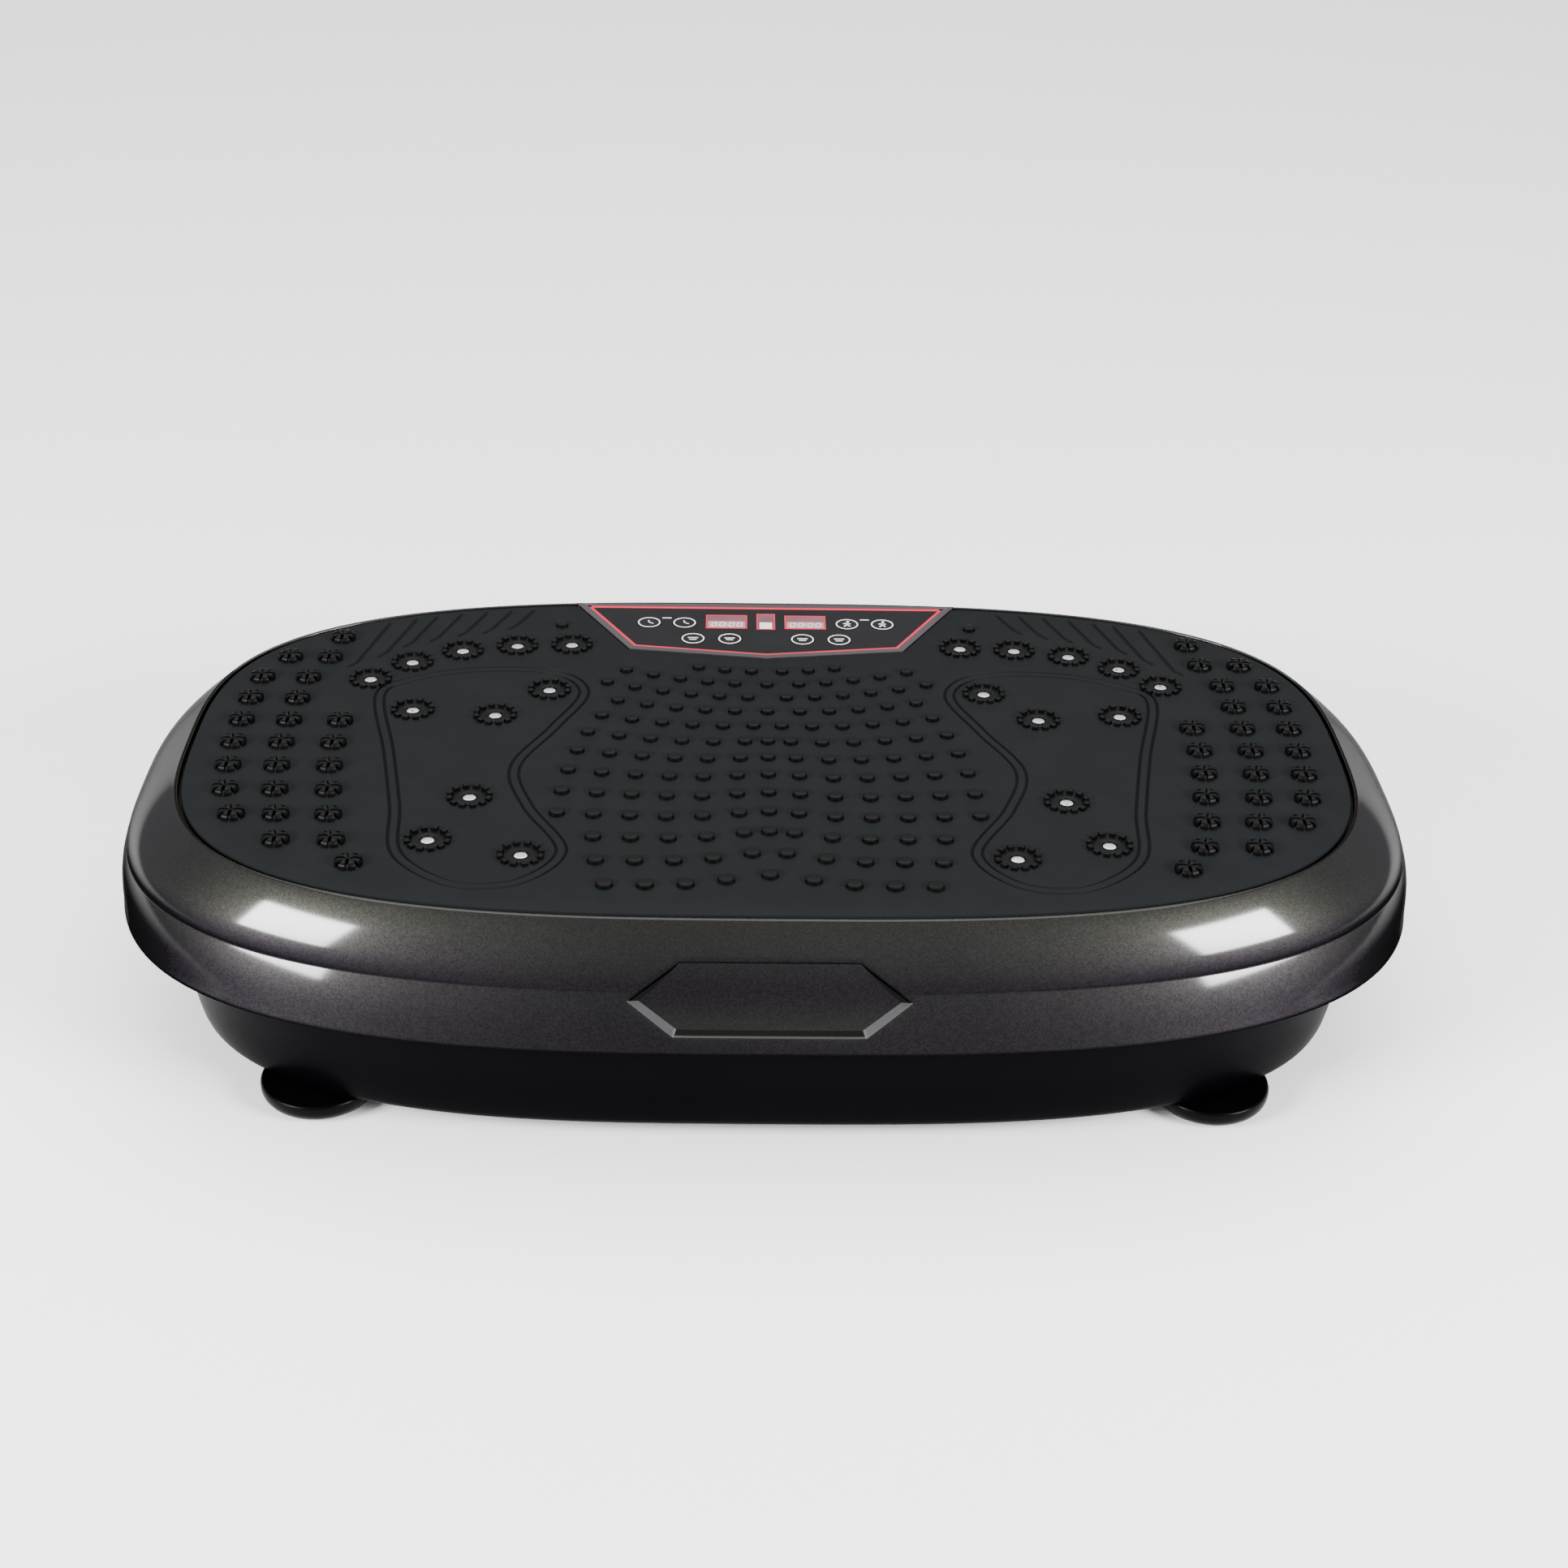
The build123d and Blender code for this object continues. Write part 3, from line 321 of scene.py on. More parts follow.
def startMaterial(name, finish):
    material = bpy.data.materials.new(name)
    material.use_nodes = True
    tree = material.node_tree
    shader = next(n for n in tree.nodes if n.type == "BSDF_PRINCIPLED")
    shader.inputs["Metallic"].default_value = finish.get("metal", 0.0)
    shader.inputs["Coat Weight"].default_value = finish.get("coat", 0.0)
    shader.inputs["Coat Roughness"].default_value = finish.get("coatRough", 0.05)
    shader.inputs["Specular IOR Level"].default_value = finish.get("specular", 0.5)
    shader.inputs["Sheen Weight"].default_value = finish.get("sheen", 0.0)
    return material, tree, shader


def mixedColour(tree, factor, low, high):
    # two colours mixed by a value that changes over the surface
    mix = addNode(tree, "ShaderNodeMix", {"data_type": "RGBA"})
    mix.inputs[6].default_value = (*low, 1)
    mix.inputs[7].default_value = (*high, 1)
    tree.links.new(factor, mix.inputs["Factor"])
    return mix.outputs[2]


def ranged(tree, value, low, high):
    node = addNode(tree, "ShaderNodeMapRange", values={"To Min": low, "To Max": high})
    node.inputs["From Min"].default_value = 0.3
    node.inputs["From Max"].default_value = 0.7
    tree.links.new(value, node.inputs["Value"])
    return node.outputs["Result"]


def mouldedFinish(name, finish):
    # grain bump, a cloud of tone and gloss, and a little dust, for plastic, rubber and metal alike
    material, tree, shader = startMaterial(name, finish)
    link = tree.links.new
    grain = addNode(tree, "ShaderNodeGroup", {"node_tree": grainGroup})
    grain.inputs["Size"].default_value = finish.get("grain", 900.0)
    grain.inputs["Cloud Size"].default_value = finish.get("cloud", 9.0)
    base = np.array(finish["colour"], float)
    spread = finish.get("spread", 0.18)
    colour = mixedColour(tree, grain.outputs["Cloud"], base * (1 - spread), base * (1 + spread))
    dust = addNode(tree, "ShaderNodeGroup", {"node_tree": dustGroup})
    dust.inputs["Amount"].default_value = finish.get("dust", 0.12)
    dusty = addNode(tree, "ShaderNodeMix", {"data_type": "RGBA"})
    dusty.inputs[7].default_value = (*np.minimum(base * 1.5 + 0.03, 1), 1)
    link(colour, dusty.inputs[6])
    link(dust.outputs["Mask"], dusty.inputs["Factor"])
    link(dusty.outputs[2], shader.inputs["Base Color"])
    rough = finish["rough"]
    change = finish.get("roughChange", 0.08)
    link(ranged(tree, grain.outputs["Cloud"], rough - change, rough + change), shader.inputs["Roughness"])
    bump = addNode(tree, "ShaderNodeBump")
    bump.inputs["Strength"].default_value = finish.get("bump", 0.15)
    bump.inputs["Distance"].default_value = finish.get("bumpDepth", 0.0002)
    link(grain.outputs["Grain"], bump.inputs["Height"])
    link(bump.outputs["Normal"], shader.inputs["Normal"])
    return material


def brushedFinish(name, finish):
    # fine lines drawn out along one direction over a metal base
    material, tree, shader = startMaterial(name, finish)
    link = tree.links.new
    place = addNode(tree, "ShaderNodeTexCoord")
    stretch = addNode(tree, "ShaderNodeMapping")
    stretch.inputs["Scale"].default_value = finish.get("stretch", (900, 60, 900))
    lines = addNode(tree, "ShaderNodeTexNoise", values={"Scale": 1.0, "Detail": 4.0, "Roughness": 0.65})
    link(place.outputs["Object"], stretch.inputs["Vector"])
    link(stretch.outputs["Vector"], lines.inputs["Vector"])
    base = np.array(finish["colour"], float)
    link(mixedColour(tree, lines.outputs["Fac"], base * 0.8, np.minimum(base * 1.15, 1)),
         shader.inputs["Base Color"])
    rough = finish["rough"]
    link(ranged(tree, lines.outputs["Fac"], rough - 0.08, rough + 0.1), shader.inputs["Roughness"])
    bump = addNode(tree, "ShaderNodeBump")
    bump.inputs["Strength"].default_value = finish.get("bump", 0.12)
    bump.inputs["Distance"].default_value = 0.0001
    link(lines.outputs["Fac"], bump.inputs["Height"])
    link(bump.outputs["Normal"], shader.inputs["Normal"])
    return material


def flakePaint(name, finish):
    # metallic pigment under a clear coat: each cell has its own tint and tilt, the coat stays smooth
    material, tree, shader = startMaterial(name, finish)
    link = tree.links.new
    flake = addNode(tree, "ShaderNodeGroup", {"node_tree": flakeGroup})
    flake.inputs["Size"].default_value = finish["flake"]
    grain = addNode(tree, "ShaderNodeGroup", {"node_tree": grainGroup})
    grain.inputs["Size"].default_value = 2200.0
    grain.inputs["Cloud Size"].default_value = 6.0
    facing = addNode(tree, "ShaderNodeGroup", {"node_tree": facingGroup})
    for key, value in finish["polish"].items():
        facing.inputs[key].default_value = value
    # the clear coat fades out where the surface is seen edge on
    edgeOn = addNode(tree, "ShaderNodeLayerWeight", values={"Blend": 0.5})
    fadeOver = {"From Min": 0.45, "From Max": 0.85, "To Min": 1.0, "To Max": 0.08}
    fade = addNode(tree, "ShaderNodeMapRange", values=fadeOver)
    coat = addNode(tree, "ShaderNodeMath", {"operation": "MULTIPLY"})
    link(edgeOn.outputs["Facing"], fade.inputs["Value"])
    link(fade.outputs["Result"], coat.inputs[0])
    link(facing.outputs["Polish"], coat.inputs[1])
    link(coat.outputs["Value"], shader.inputs["Coat Weight"])
    shader.inputs["Specular Tint"].default_value = (*finish["edgeTint"], 1)
    # painted reflection tint: the purple-grey side colour on steep faces such as the skirt, the olive main
    # colour on faces that look up
    paintedReflectTints = []
    for base in (np.array(finish["side"], float), np.array(finish["colour"], float)):
        paintedReflectTints.append(mixedColour(tree, flake.outputs["Tint"], base * 0.72, base * 1.35))
    turned = addNode(tree, "ShaderNodeMix", {"data_type": "RGBA"})
    link(facing.outputs["Up"], turned.inputs["Factor"])
    link(paintedReflectTints[0], turned.inputs[6])
    link(paintedReflectTints[1], turned.inputs[7])
    clouded = addNode(tree, "ShaderNodeMix", {"data_type": "RGBA", "blend_type": "MULTIPLY"})
    clouded.inputs["Factor"].default_value = 0.3
    link(turned.outputs[2], clouded.inputs[6])
    link(grain.outputs["Cloud"], clouded.inputs[7])
    # painted shade: the colour is darkened on steep walls, down to the wall shade factor
    shade = addNode(tree, "ShaderNodeMapRange", values={"To Min": finish["paintedWallShade"], "To Max": 1.0})
    link(facing.outputs["Shade"], shade.inputs["Value"])
    shaded = addNode(tree, "ShaderNodeMix", {"data_type": "RGBA", "blend_type": "MULTIPLY"})
    shaded.inputs["Factor"].default_value = 1.0
    link(clouded.outputs[2], shaded.inputs[6])
    link(shade.outputs["Result"], shaded.inputs[7])
    link(shaded.outputs[2], shader.inputs["Base Color"])
    link(ranged(tree, grain.outputs["Cloud"], finish["rough"] - 0.04, finish["rough"] + 0.04),
         shader.inputs["Roughness"])
    bump = addNode(tree, "ShaderNodeBump")
    bump.inputs["Strength"].default_value = finish["bump"]
    bump.inputs["Distance"].default_value = 0.00012
    link(flake.outputs["Tilt"], bump.inputs["Height"])
    link(bump.outputs["Normal"], shader.inputs["Normal"])
    return material


finishes = {
    # the side colour is a painted reflection tint for steep faces such as the skirt
    "shell_paint": dict(kind=flakePaint, colour=(0.0150, 0.0150, 0.0122), side=(0.0145, 0.0125, 0.0158),
                        rough=0.4,
                        # the wall shade factor is painted shade on steep walls
                        metal=1.0, coat=0.5, coatRough=0.09, flake=1500.0, bump=0.22, paintedWallShade=0.2,
                        edgeTint=(0.10, 0.09, 0.105), polish={"Wall": 0.02, "Slope": 1.0, "Top": 0.1}),
    "badge_floor": dict(colour=(0.0034, 0.0034, 0.0028), rough=0.45, grain=1300.0, bump=0.1, dust=0.02,
                        specular=0.03),
    # badge_facet is a lighter, glossier copy of the shell paint: a painted highlight on two bevel facets
    "badge_facet": dict(colour=(0.060, 0.058, 0.060), rough=0.3, metal=0.4, grain=1300.0, bump=0.1,
                        specular=0.3,
                        coat=0.3),
    "bowl_plastic": dict(colour=(0.0005, 0.0005, 0.0009), rough=0.34, grain=1400.0, bump=0.08,
                         dust=0.004, specular=0.015),
    "mat_rubber": dict(colour=(0.0058, 0.0066, 0.0071), rough=0.6, grain=1100.0, bump=0.2, cloud=7.0,
                       spread=0.22,
                       dust=0.035, specular=0.04),
    # nodule_rubber is the mat's rubber made darker: painted shade on the studs, domes and ring teeth
    "nodule_rubber": dict(colour=(0.0012, 0.0012, 0.0013), rough=0.42, grain=1100.0, bump=0.1, cloud=14.0,
                          dust=0.01, specular=0.07),
    "foot_rubber": dict(colour=(0.0005, 0.0005, 0.0006), rough=0.3, grain=1500.0, bump=0.1, dust=0.004,
                        specular=0.05),
    "buffer_rubber": dict(colour=(0.012, 0.012, 0.013), rough=0.6, grain=900.0, bump=0.2),
    "magnet_nickel": dict(kind=brushedFinish, colour=(0.66, 0.67, 0.68), rough=0.36, metal=1.0, bump=0.08,
                          stretch=(1500, 1500, 1500)),
    "ferrite": dict(colour=(0.05, 0.048, 0.047), rough=0.7, grain=1300.0, bump=0.3),
    "steel_zinc": dict(colour=(0.55, 0.56, 0.58), rough=0.32, metal=1.0, grain=500.0, bump=0.08, cloud=120.0),
    "steel_painted": dict(colour=(0.022, 0.023, 0.026), rough=0.48, grain=1200.0, bump=0.25, coat=0.2),
    "machined_steel": dict(kind=brushedFinish, colour=(0.52, 0.52, 0.54), rough=0.24, metal=1.0,
                           stretch=(40, 2600, 40)),
    "cast_block": dict(colour=(0.12, 0.12, 0.125), rough=0.6, metal=0.7, grain=700.0, bump=0.45),
    "bronze": dict(colour=(0.55, 0.34, 0.14), rough=0.4, metal=1.0, grain=900.0, bump=0.2),
    "motor_can": dict(colour=(0.03, 0.031, 0.034), rough=0.36, grain=900.0, bump=0.15, coat=0.4),
    "cast_aluminium": dict(colour=(0.60, 0.61, 0.63), rough=0.42, metal=1.0, grain=650.0, bump=0.3),
    "belt_rubber": dict(colour=(0.012, 0.012, 0.013), rough=0.62, grain=1600.0, bump=0.35),
    "board_green": dict(colour=(0.012, 0.11, 0.045), rough=0.35, grain=400.0, bump=0.08, spread=0.3,
                        cloud=90.0),
    "board_parts": dict(colour=(0.03, 0.03, 0.033), rough=0.45, grain=700.0, bump=0.15, cloud=60.0),
    "nylon": dict(colour=(0.75, 0.75, 0.72), rough=0.5, grain=600.0, bump=0.08),
    "bezel_plastic": dict(colour=(0.050, 0.042, 0.045), rough=0.34, metal=0.3, grain=1500.0, bump=0.12,
                          dust=0.05,
                          specular=0.15),
    "trim_red": dict(colour=(0.42, 0.020, 0.045), rough=0.4, grain=1200.0, bump=0.06, dust=0.03,
                     specular=0.06),
    "overlay_black": dict(colour=(0.0062, 0.0062, 0.0066), rough=0.36, grain=1500.0, bump=0.05, dust=0.05,
                          specular=0.07),
    "window_tint": dict(colour=(0.13, 0.055, 0.068), rough=0.3, grain=1200.0, bump=0.03, spread=0.3,
                        cloud=50.0,
                        specular=0.1),
    "window_pale": dict(colour=(0.30, 0.17, 0.18), rough=0.3, specular=0.1, grain=1200.0, bump=0.03,
                        spread=0.25, cloud=60.0),
    "display": dict(colour=(0.06, 0.012, 0.018), rough=0.4, grain=900.0, bump=0.05),
    "key_black": dict(colour=(0.0068, 0.0068, 0.0072), rough=0.36, grain=1500.0, bump=0.06, specular=0.07),
    "key_print": dict(colour=(0.62, 0.62, 0.60), rough=0.45, grain=1500.0, bump=0.05, dust=0.05),
    "socket_plastic": dict(colour=(0.0014, 0.0014, 0.0016), rough=0.45, grain=1200.0, bump=0.2,
                           specular=0.10),
    "rocker_plastic": dict(colour=(0.0018, 0.0018, 0.0020), rough=0.28, grain=1200.0, bump=0.06,
                           specular=0.12),
    "switch_metal": dict(colour=(0.06, 0.06, 0.064), rough=0.4, grain=800.0, bump=0.1),
    "pin_brass": dict(kind=brushedFinish, colour=(0.66, 0.55, 0.30), rough=0.26, metal=1.0,
                      stretch=(1800, 60, 1800)),
}
materials = {name: f.get("kind", mouldedFinish)(name, f) for name, f in finishes.items()}

slotOf = {s["node"]: s["material_slot"] for s in frame["record"]["subparts"]}
for node, obj in frame["nodes"].items():
    obj.data.materials.clear()
    obj.data.materials.append(materials[slotOf[node]])
print("materials ready", len(materials))


# ---- camera, floor and lights ----

camera = {"place": (-0.0192, -1.1958, 0.7706), "down": 29.18, "right": 1.348, "roll": 1.187, "lens": 59.29}


def placeCamera(c):
    # look along the given heading, tipped down, then rolled so that the right side sinks
    down, right, roll = (math.radians(c[k]) for k in ("down", "right", "roll"))
    ahead = Vector((math.sin(right) * math.cos(down), math.cos(right) * math.cos(down), -math.sin(down)))
    side = Vector((math.cos(right), -math.sin(right), 0))
    up = side.cross(ahead)
    axisX = side * math.cos(roll) + up * math.sin(roll)
    axisY = up * math.cos(roll) - side * math.sin(roll)
    turn = Matrix((axisX, axisY, -ahead)).transposed().to_4x4()
    data = bpy.data.cameras.new("camera")
    data.lens = c["lens"]
    data.sensor_width = 36.0
    data.clip_start = 0.05
    data.clip_end = 60.0
    obj = bpy.data.objects.new("camera", data)
    obj.matrix_world = Matrix.Translation(c["place"]) @ turn
    bpy.context.scene.collection.objects.link(obj)
    bpy.context.scene.camera = obj


def addSoftbox(name, place, size, power, aim=(0, 0, 0.08), tint=(1, 1, 1)):
    data = bpy.data.lights.new(name, "AREA")
    data.shape = "RECTANGLE"
    data.size, data.size_y = size
    data.energy = power
    data.color = tint
    obj = bpy.data.objects.new(name, data)
    obj.location = place
    obj.rotation_euler = (Vector(aim) - Vector(place)).to_track_quat("-Z", "Y").to_euler()
    bpy.context.scene.collection.objects.link(obj)


def makeFloor():
    material = bpy.data.materials.new("pale_floor")
    material.use_nodes = True
    tree = material.node_tree
    shader = next(n for n in tree.nodes if n.type == "BSDF_PRINCIPLED")
    grain = addNode(tree, "ShaderNodeGroup", {"node_tree": grainGroup})
    grain.inputs["Cloud Size"].default_value = 1.5
    pale = mixedColour(tree, grain.outputs["Cloud"], (0.93, 0.93, 0.93), (0.96, 0.96, 0.96))
    tree.links.new(pale, shader.inputs["Base Color"])
    shader.inputs["Roughness"].default_value = 0.9
    shader.inputs["Specular IOR Level"].default_value = 0.1
    half = floorSize / 2
    mesh = bpy.data.meshes.new("floor")
    mesh.from_pydata([(-half, -half, 0), (half, -half, 0), (half, half, 0), (-half, half, 0)], [],
                     [(0, 1, 2, 3)])
    mesh.materials.append(material)
    obj = bpy.data.objects.new("floor", mesh)
    bpy.context.scene.collection.objects.link(obj)


def makeWorld(strength):
    world = bpy.data.worlds.new("studio")
    bpy.context.scene.world = world
    world.use_nodes = True
    back = next(n for n in world.node_tree.nodes if n.type == "BACKGROUND")
    back.inputs["Color"].default_value = (0.93, 0.94, 1.0, 1)
    back.inputs["Strength"].default_value = strength


placeCamera(camera)
makeFloor()
makeWorld(0.60)
addSoftbox("left_box", (-1.66, -1.22, 0.98), (0.85, 0.6), 120)
addSoftbox("right_box", (1.66, -1.22, 0.98), (0.85, 0.6), 120)
addSoftbox("back_box", (0.0, 3.8, 5.2), (6.0, 2.0), 260)
addSoftbox("top_box", (0.0, 0.4, 4.2), (5.0, 4.0), 170)
print("camera, floor and lights ready")


# ---- plan outlines: a superellipse in polar form, so columns run straight out from the middle ----

deck = {"halfLength": 333.0, "halfWidth": 203.0, "columns": 288}


def oval(angle, halfLength, halfWidth, squareness):
    # radius is the superellipse's distance from the middle at each angle
    reach = (np.abs(np.cos(angle)) / halfLength) ** squareness
    reach = (reach + (np.abs(np.sin(angle)) / halfWidth) ** squareness) ** (-1 / squareness)
    return reach * np.cos(angle), reach * np.sin(angle)


def evenAngles(columns):
    # angles whose points are evenly spaced along the rim, starting at the front's middle
    angle = np.linspace(0, 2 * np.pi, 7201) - np.pi / 2
    x, y = oval(angle, deck["halfLength"], deck["halfWidth"], 3.0)
    length = np.concatenate([[0], np.cumsum(np.hypot(np.diff(x), np.diff(y)))])
    return np.interp(np.arange(columns) / columns * length[-1], length, angle)


columnAngles = evenAngles(deck["columns"])


# ---- top shell ----

shell = {
    "crease": (11.5, 97.0), "skirtEnd": (0.0, 70.0), "wall": 3.0, "recess": (31.2, 123.4),
    "lipTop": (29.6, 126.75), "lipPull": (24.6, 122.6), "creasePull": (12.9, 105.0), "squareTop": 3.03,
    "squareCrease": 2.87, "squareSkirt": 3.0, "endBulge": 9.0,
}


def shellRows(s):
    # profile from the recess floor over the lip and shoulder, down the skirt and back up inside
    inset, floor = s["recess"]
    lip = [(90, floor), (inset + 6, floor), (inset, floor), (inset, 126.2), (inset - 0.3, 126.8),
           (inset - 0.8, 127.0)]
    shoulder = bezier(s["lipTop"], s["lipPull"], s["creasePull"], s["crease"], 25)
    nearCrease = shoulder[-2] * 0.25 + shoulder[-1] * 0.75
    cx, cz = s["crease"]
    ex, ez = s["skirtEnd"]
    steps = np.array([0.02, 0.1, 0.25, 0.42, 0.6, 0.78, 0.93, 0.985])
    skirt = np.stack([cx + (ex - cx) * steps - 0.5 * np.sin(steps * np.pi), cz + (ez - cz) * steps], -1)
    skirt[-1, 0] = max(skirt[-1, 0], 0.05)
    w = s["wall"]
    edge = [(0.25, 70.05), (0.8, 70.0), (w - 0.8, 70.0), (w, 70.5)]
    inner = [(cx + w, cz - 1), (18, 110), (25, 117.4), (30.6, 120.5), (90, 120.5)]
    rows = [lip, shoulder[:-1], [nearCrease], shoulder[-1:], skirt, edge, inner]
    return np.concatenate([np.asarray(r, float) for r in rows])


rows = shellRows(shell)
rowLength = np.concatenate([[0], np.cumsum(np.hypot(*np.diff(rows, axis=0).T))])
lipRow = 6
firstOut = lipRow + 3
lastOut = int(np.where((rows[:, 1] < 71.5) & (rows[:, 0] < 2))[0][0])


def squareAt(z):
    # how square the plan is at each height
    return np.interp(z, [70, 97, 127], [shell["squareSkirt"], shell["squareCrease"], shell["squareTop"]])


def shellPoint(angle, along):
    # place on the shell at a plan angle and a length along the profile
    inset = np.interp(along, rowLength, rows[:, 0])
    z = np.interp(along, rowLength, rows[:, 1])
    fuller = shell["endBulge"] * np.sin(np.pi * np.clip((z - 70) / 56, 0, 1)) ** 1.3
    x, y = oval(angle, deck["halfLength"] - inset + fuller, deck["halfWidth"] - inset, squareAt(z))
    return np.stack([x, y, z + 0 * x], -1)


badge = {"top": (-183.0, 109.0), "bottom": (-199.7, 78.0), "half": (42.5, 66.5, 45.0), "middle": 0.48,
         "depth": 3.8,
         "patchHalf": 86.0,
         "steps": [(0.9, 0.0), (0.25, 0.03), (-0.2, 0.12), (-0.8, 0.26), (-4.4, 0.9), (-4.9, 0.975),
                   (-5.6, 1.0)]}


def badgeLoops(b):
    # six-sided loops, each a step further in and a share deeper, from the shell's face to a flat floor
    top = np.array((0, *b["top"]))
    bottom = np.array((0, *b["bottom"]))
    tall = np.linalg.norm(top - bottom)
    up = (top - bottom) / tall
    out = np.cross((1, 0, 0), up)
    topHalf, middleHalf, bottomHalf = b["half"]
    m = b["middle"] * tall
    hexagon = np.array([(-bottomHalf, 0), (bottomHalf, 0), (middleHalf, m), (topHalf, tall), (-topHalf, tall),
                        (-middleHalf, m)])
    outZ = rows[firstOut:lastOut + 1, 1][::-1]
    outInset = rows[firstOut:lastOut + 1, 0][::-1]
    share = np.linspace(0, 1, 14, endpoint=False)[None, :, None]
    loops, spread = [], []
    for step, sink in b["steps"]:
        corners = shifted(hexagon, -step)
        flat = (corners[:, None] * (1 - share) + np.roll(corners, -1, 0)[:, None] * share).reshape(-1, 2)
        plane = bottom + flat[:, :1] * np.array((1, 0, 0)) + flat[:, 1:] * up
        onShell = plane.copy()
        for _ in range(8):
            inset = np.interp(onShell[:, 2], outZ, outInset)
            n = squareAt(onShell[:, 2])
            fuller = shell["endBulge"] * np.sin(np.pi * np.clip((onShell[:, 2] - 70) / 56, 0, 1)) ** 1.3
            reach = (1 - (np.abs(onShell[:, 0]) / (deck["halfLength"] - inset + fuller)) ** n) ** (1 / n)
            gap = onShell[:, 1] + (deck["halfWidth"] - inset) * reach
            onShell += out * (gap / -out[1])[:, None]
        floor = plane - out * b["depth"]
        loops.append(onShell * (1 - sink) + floor * sink)
        spread.append(onShell)
    return np.array(loops), spread[0]


panel = {"backHalf": 110.0, "backY": 171.0, "frontHalf": 77.0, "frontY": 111.5, "tipY": 101.0}
panelPath = np.array([
    (-panel["backHalf"], panel["backY"]), (-panel["frontHalf"], panel["frontY"]), (0, panel["tipY"]),
    (panel["frontHalf"], panel["frontY"]), (panel["backHalf"], panel["backY"]),
])

# how far out from the panel, how far in from the deck's edge, and the height of the floor
tub = {"inside": (0.3, 31.6, 117.35), "outside": (2.3, 31.0, 115.35)}


def tubLoop(grow, backInset, z):
    # the panel's outline moved out, its far side held inside the rim's oval
    corners = shifted(panelPath, -grow)
    share = np.linspace(0, 1, 12, endpoint=False)[None, :, None]
    loop = (corners[:, None] * (1 - share) + np.roll(corners, -1, 0)[:, None] * share).reshape(-1, 2)
    n = squareAt(z)
    reach = 1 - (np.abs(loop[:, 0]) / (deck["halfLength"] - backInset)) ** n
    loop[:, 1] = np.minimum(loop[:, 1], (deck["halfWidth"] - backInset) * reach ** (1 / n))
    return loop


def flatNet(loops, z):
    # level net inside the first loop and outside the others
    flat, triangles, _ = fillLoops([], [(loop, True) for loop in loops])
    middle = flat[triangles].mean(1)
    use = inside(middle, loops[0])
    for loop in loops[1:]:
        use &= ~inside(middle, loop)
    return np.column_stack([flat, np.full(len(flat), z)]), [triangles[use]]


def tubChunks(ring, size):
    # a level net out to the ring, straight walls down from its hole, and the tub's own floor
    grow, backInset, deep = size
    z = ring[0, 2]
    hole = tubLoop(grow, backInset, z)
    wall = np.vstack([np.column_stack([hole, np.full(len(hole), level)]) for level in (z, deep)])
    return [flatNet([ring[:, :2], hole], z), (wall, [gridFaces(2, len(hole))]), flatNet([hole], deep)]


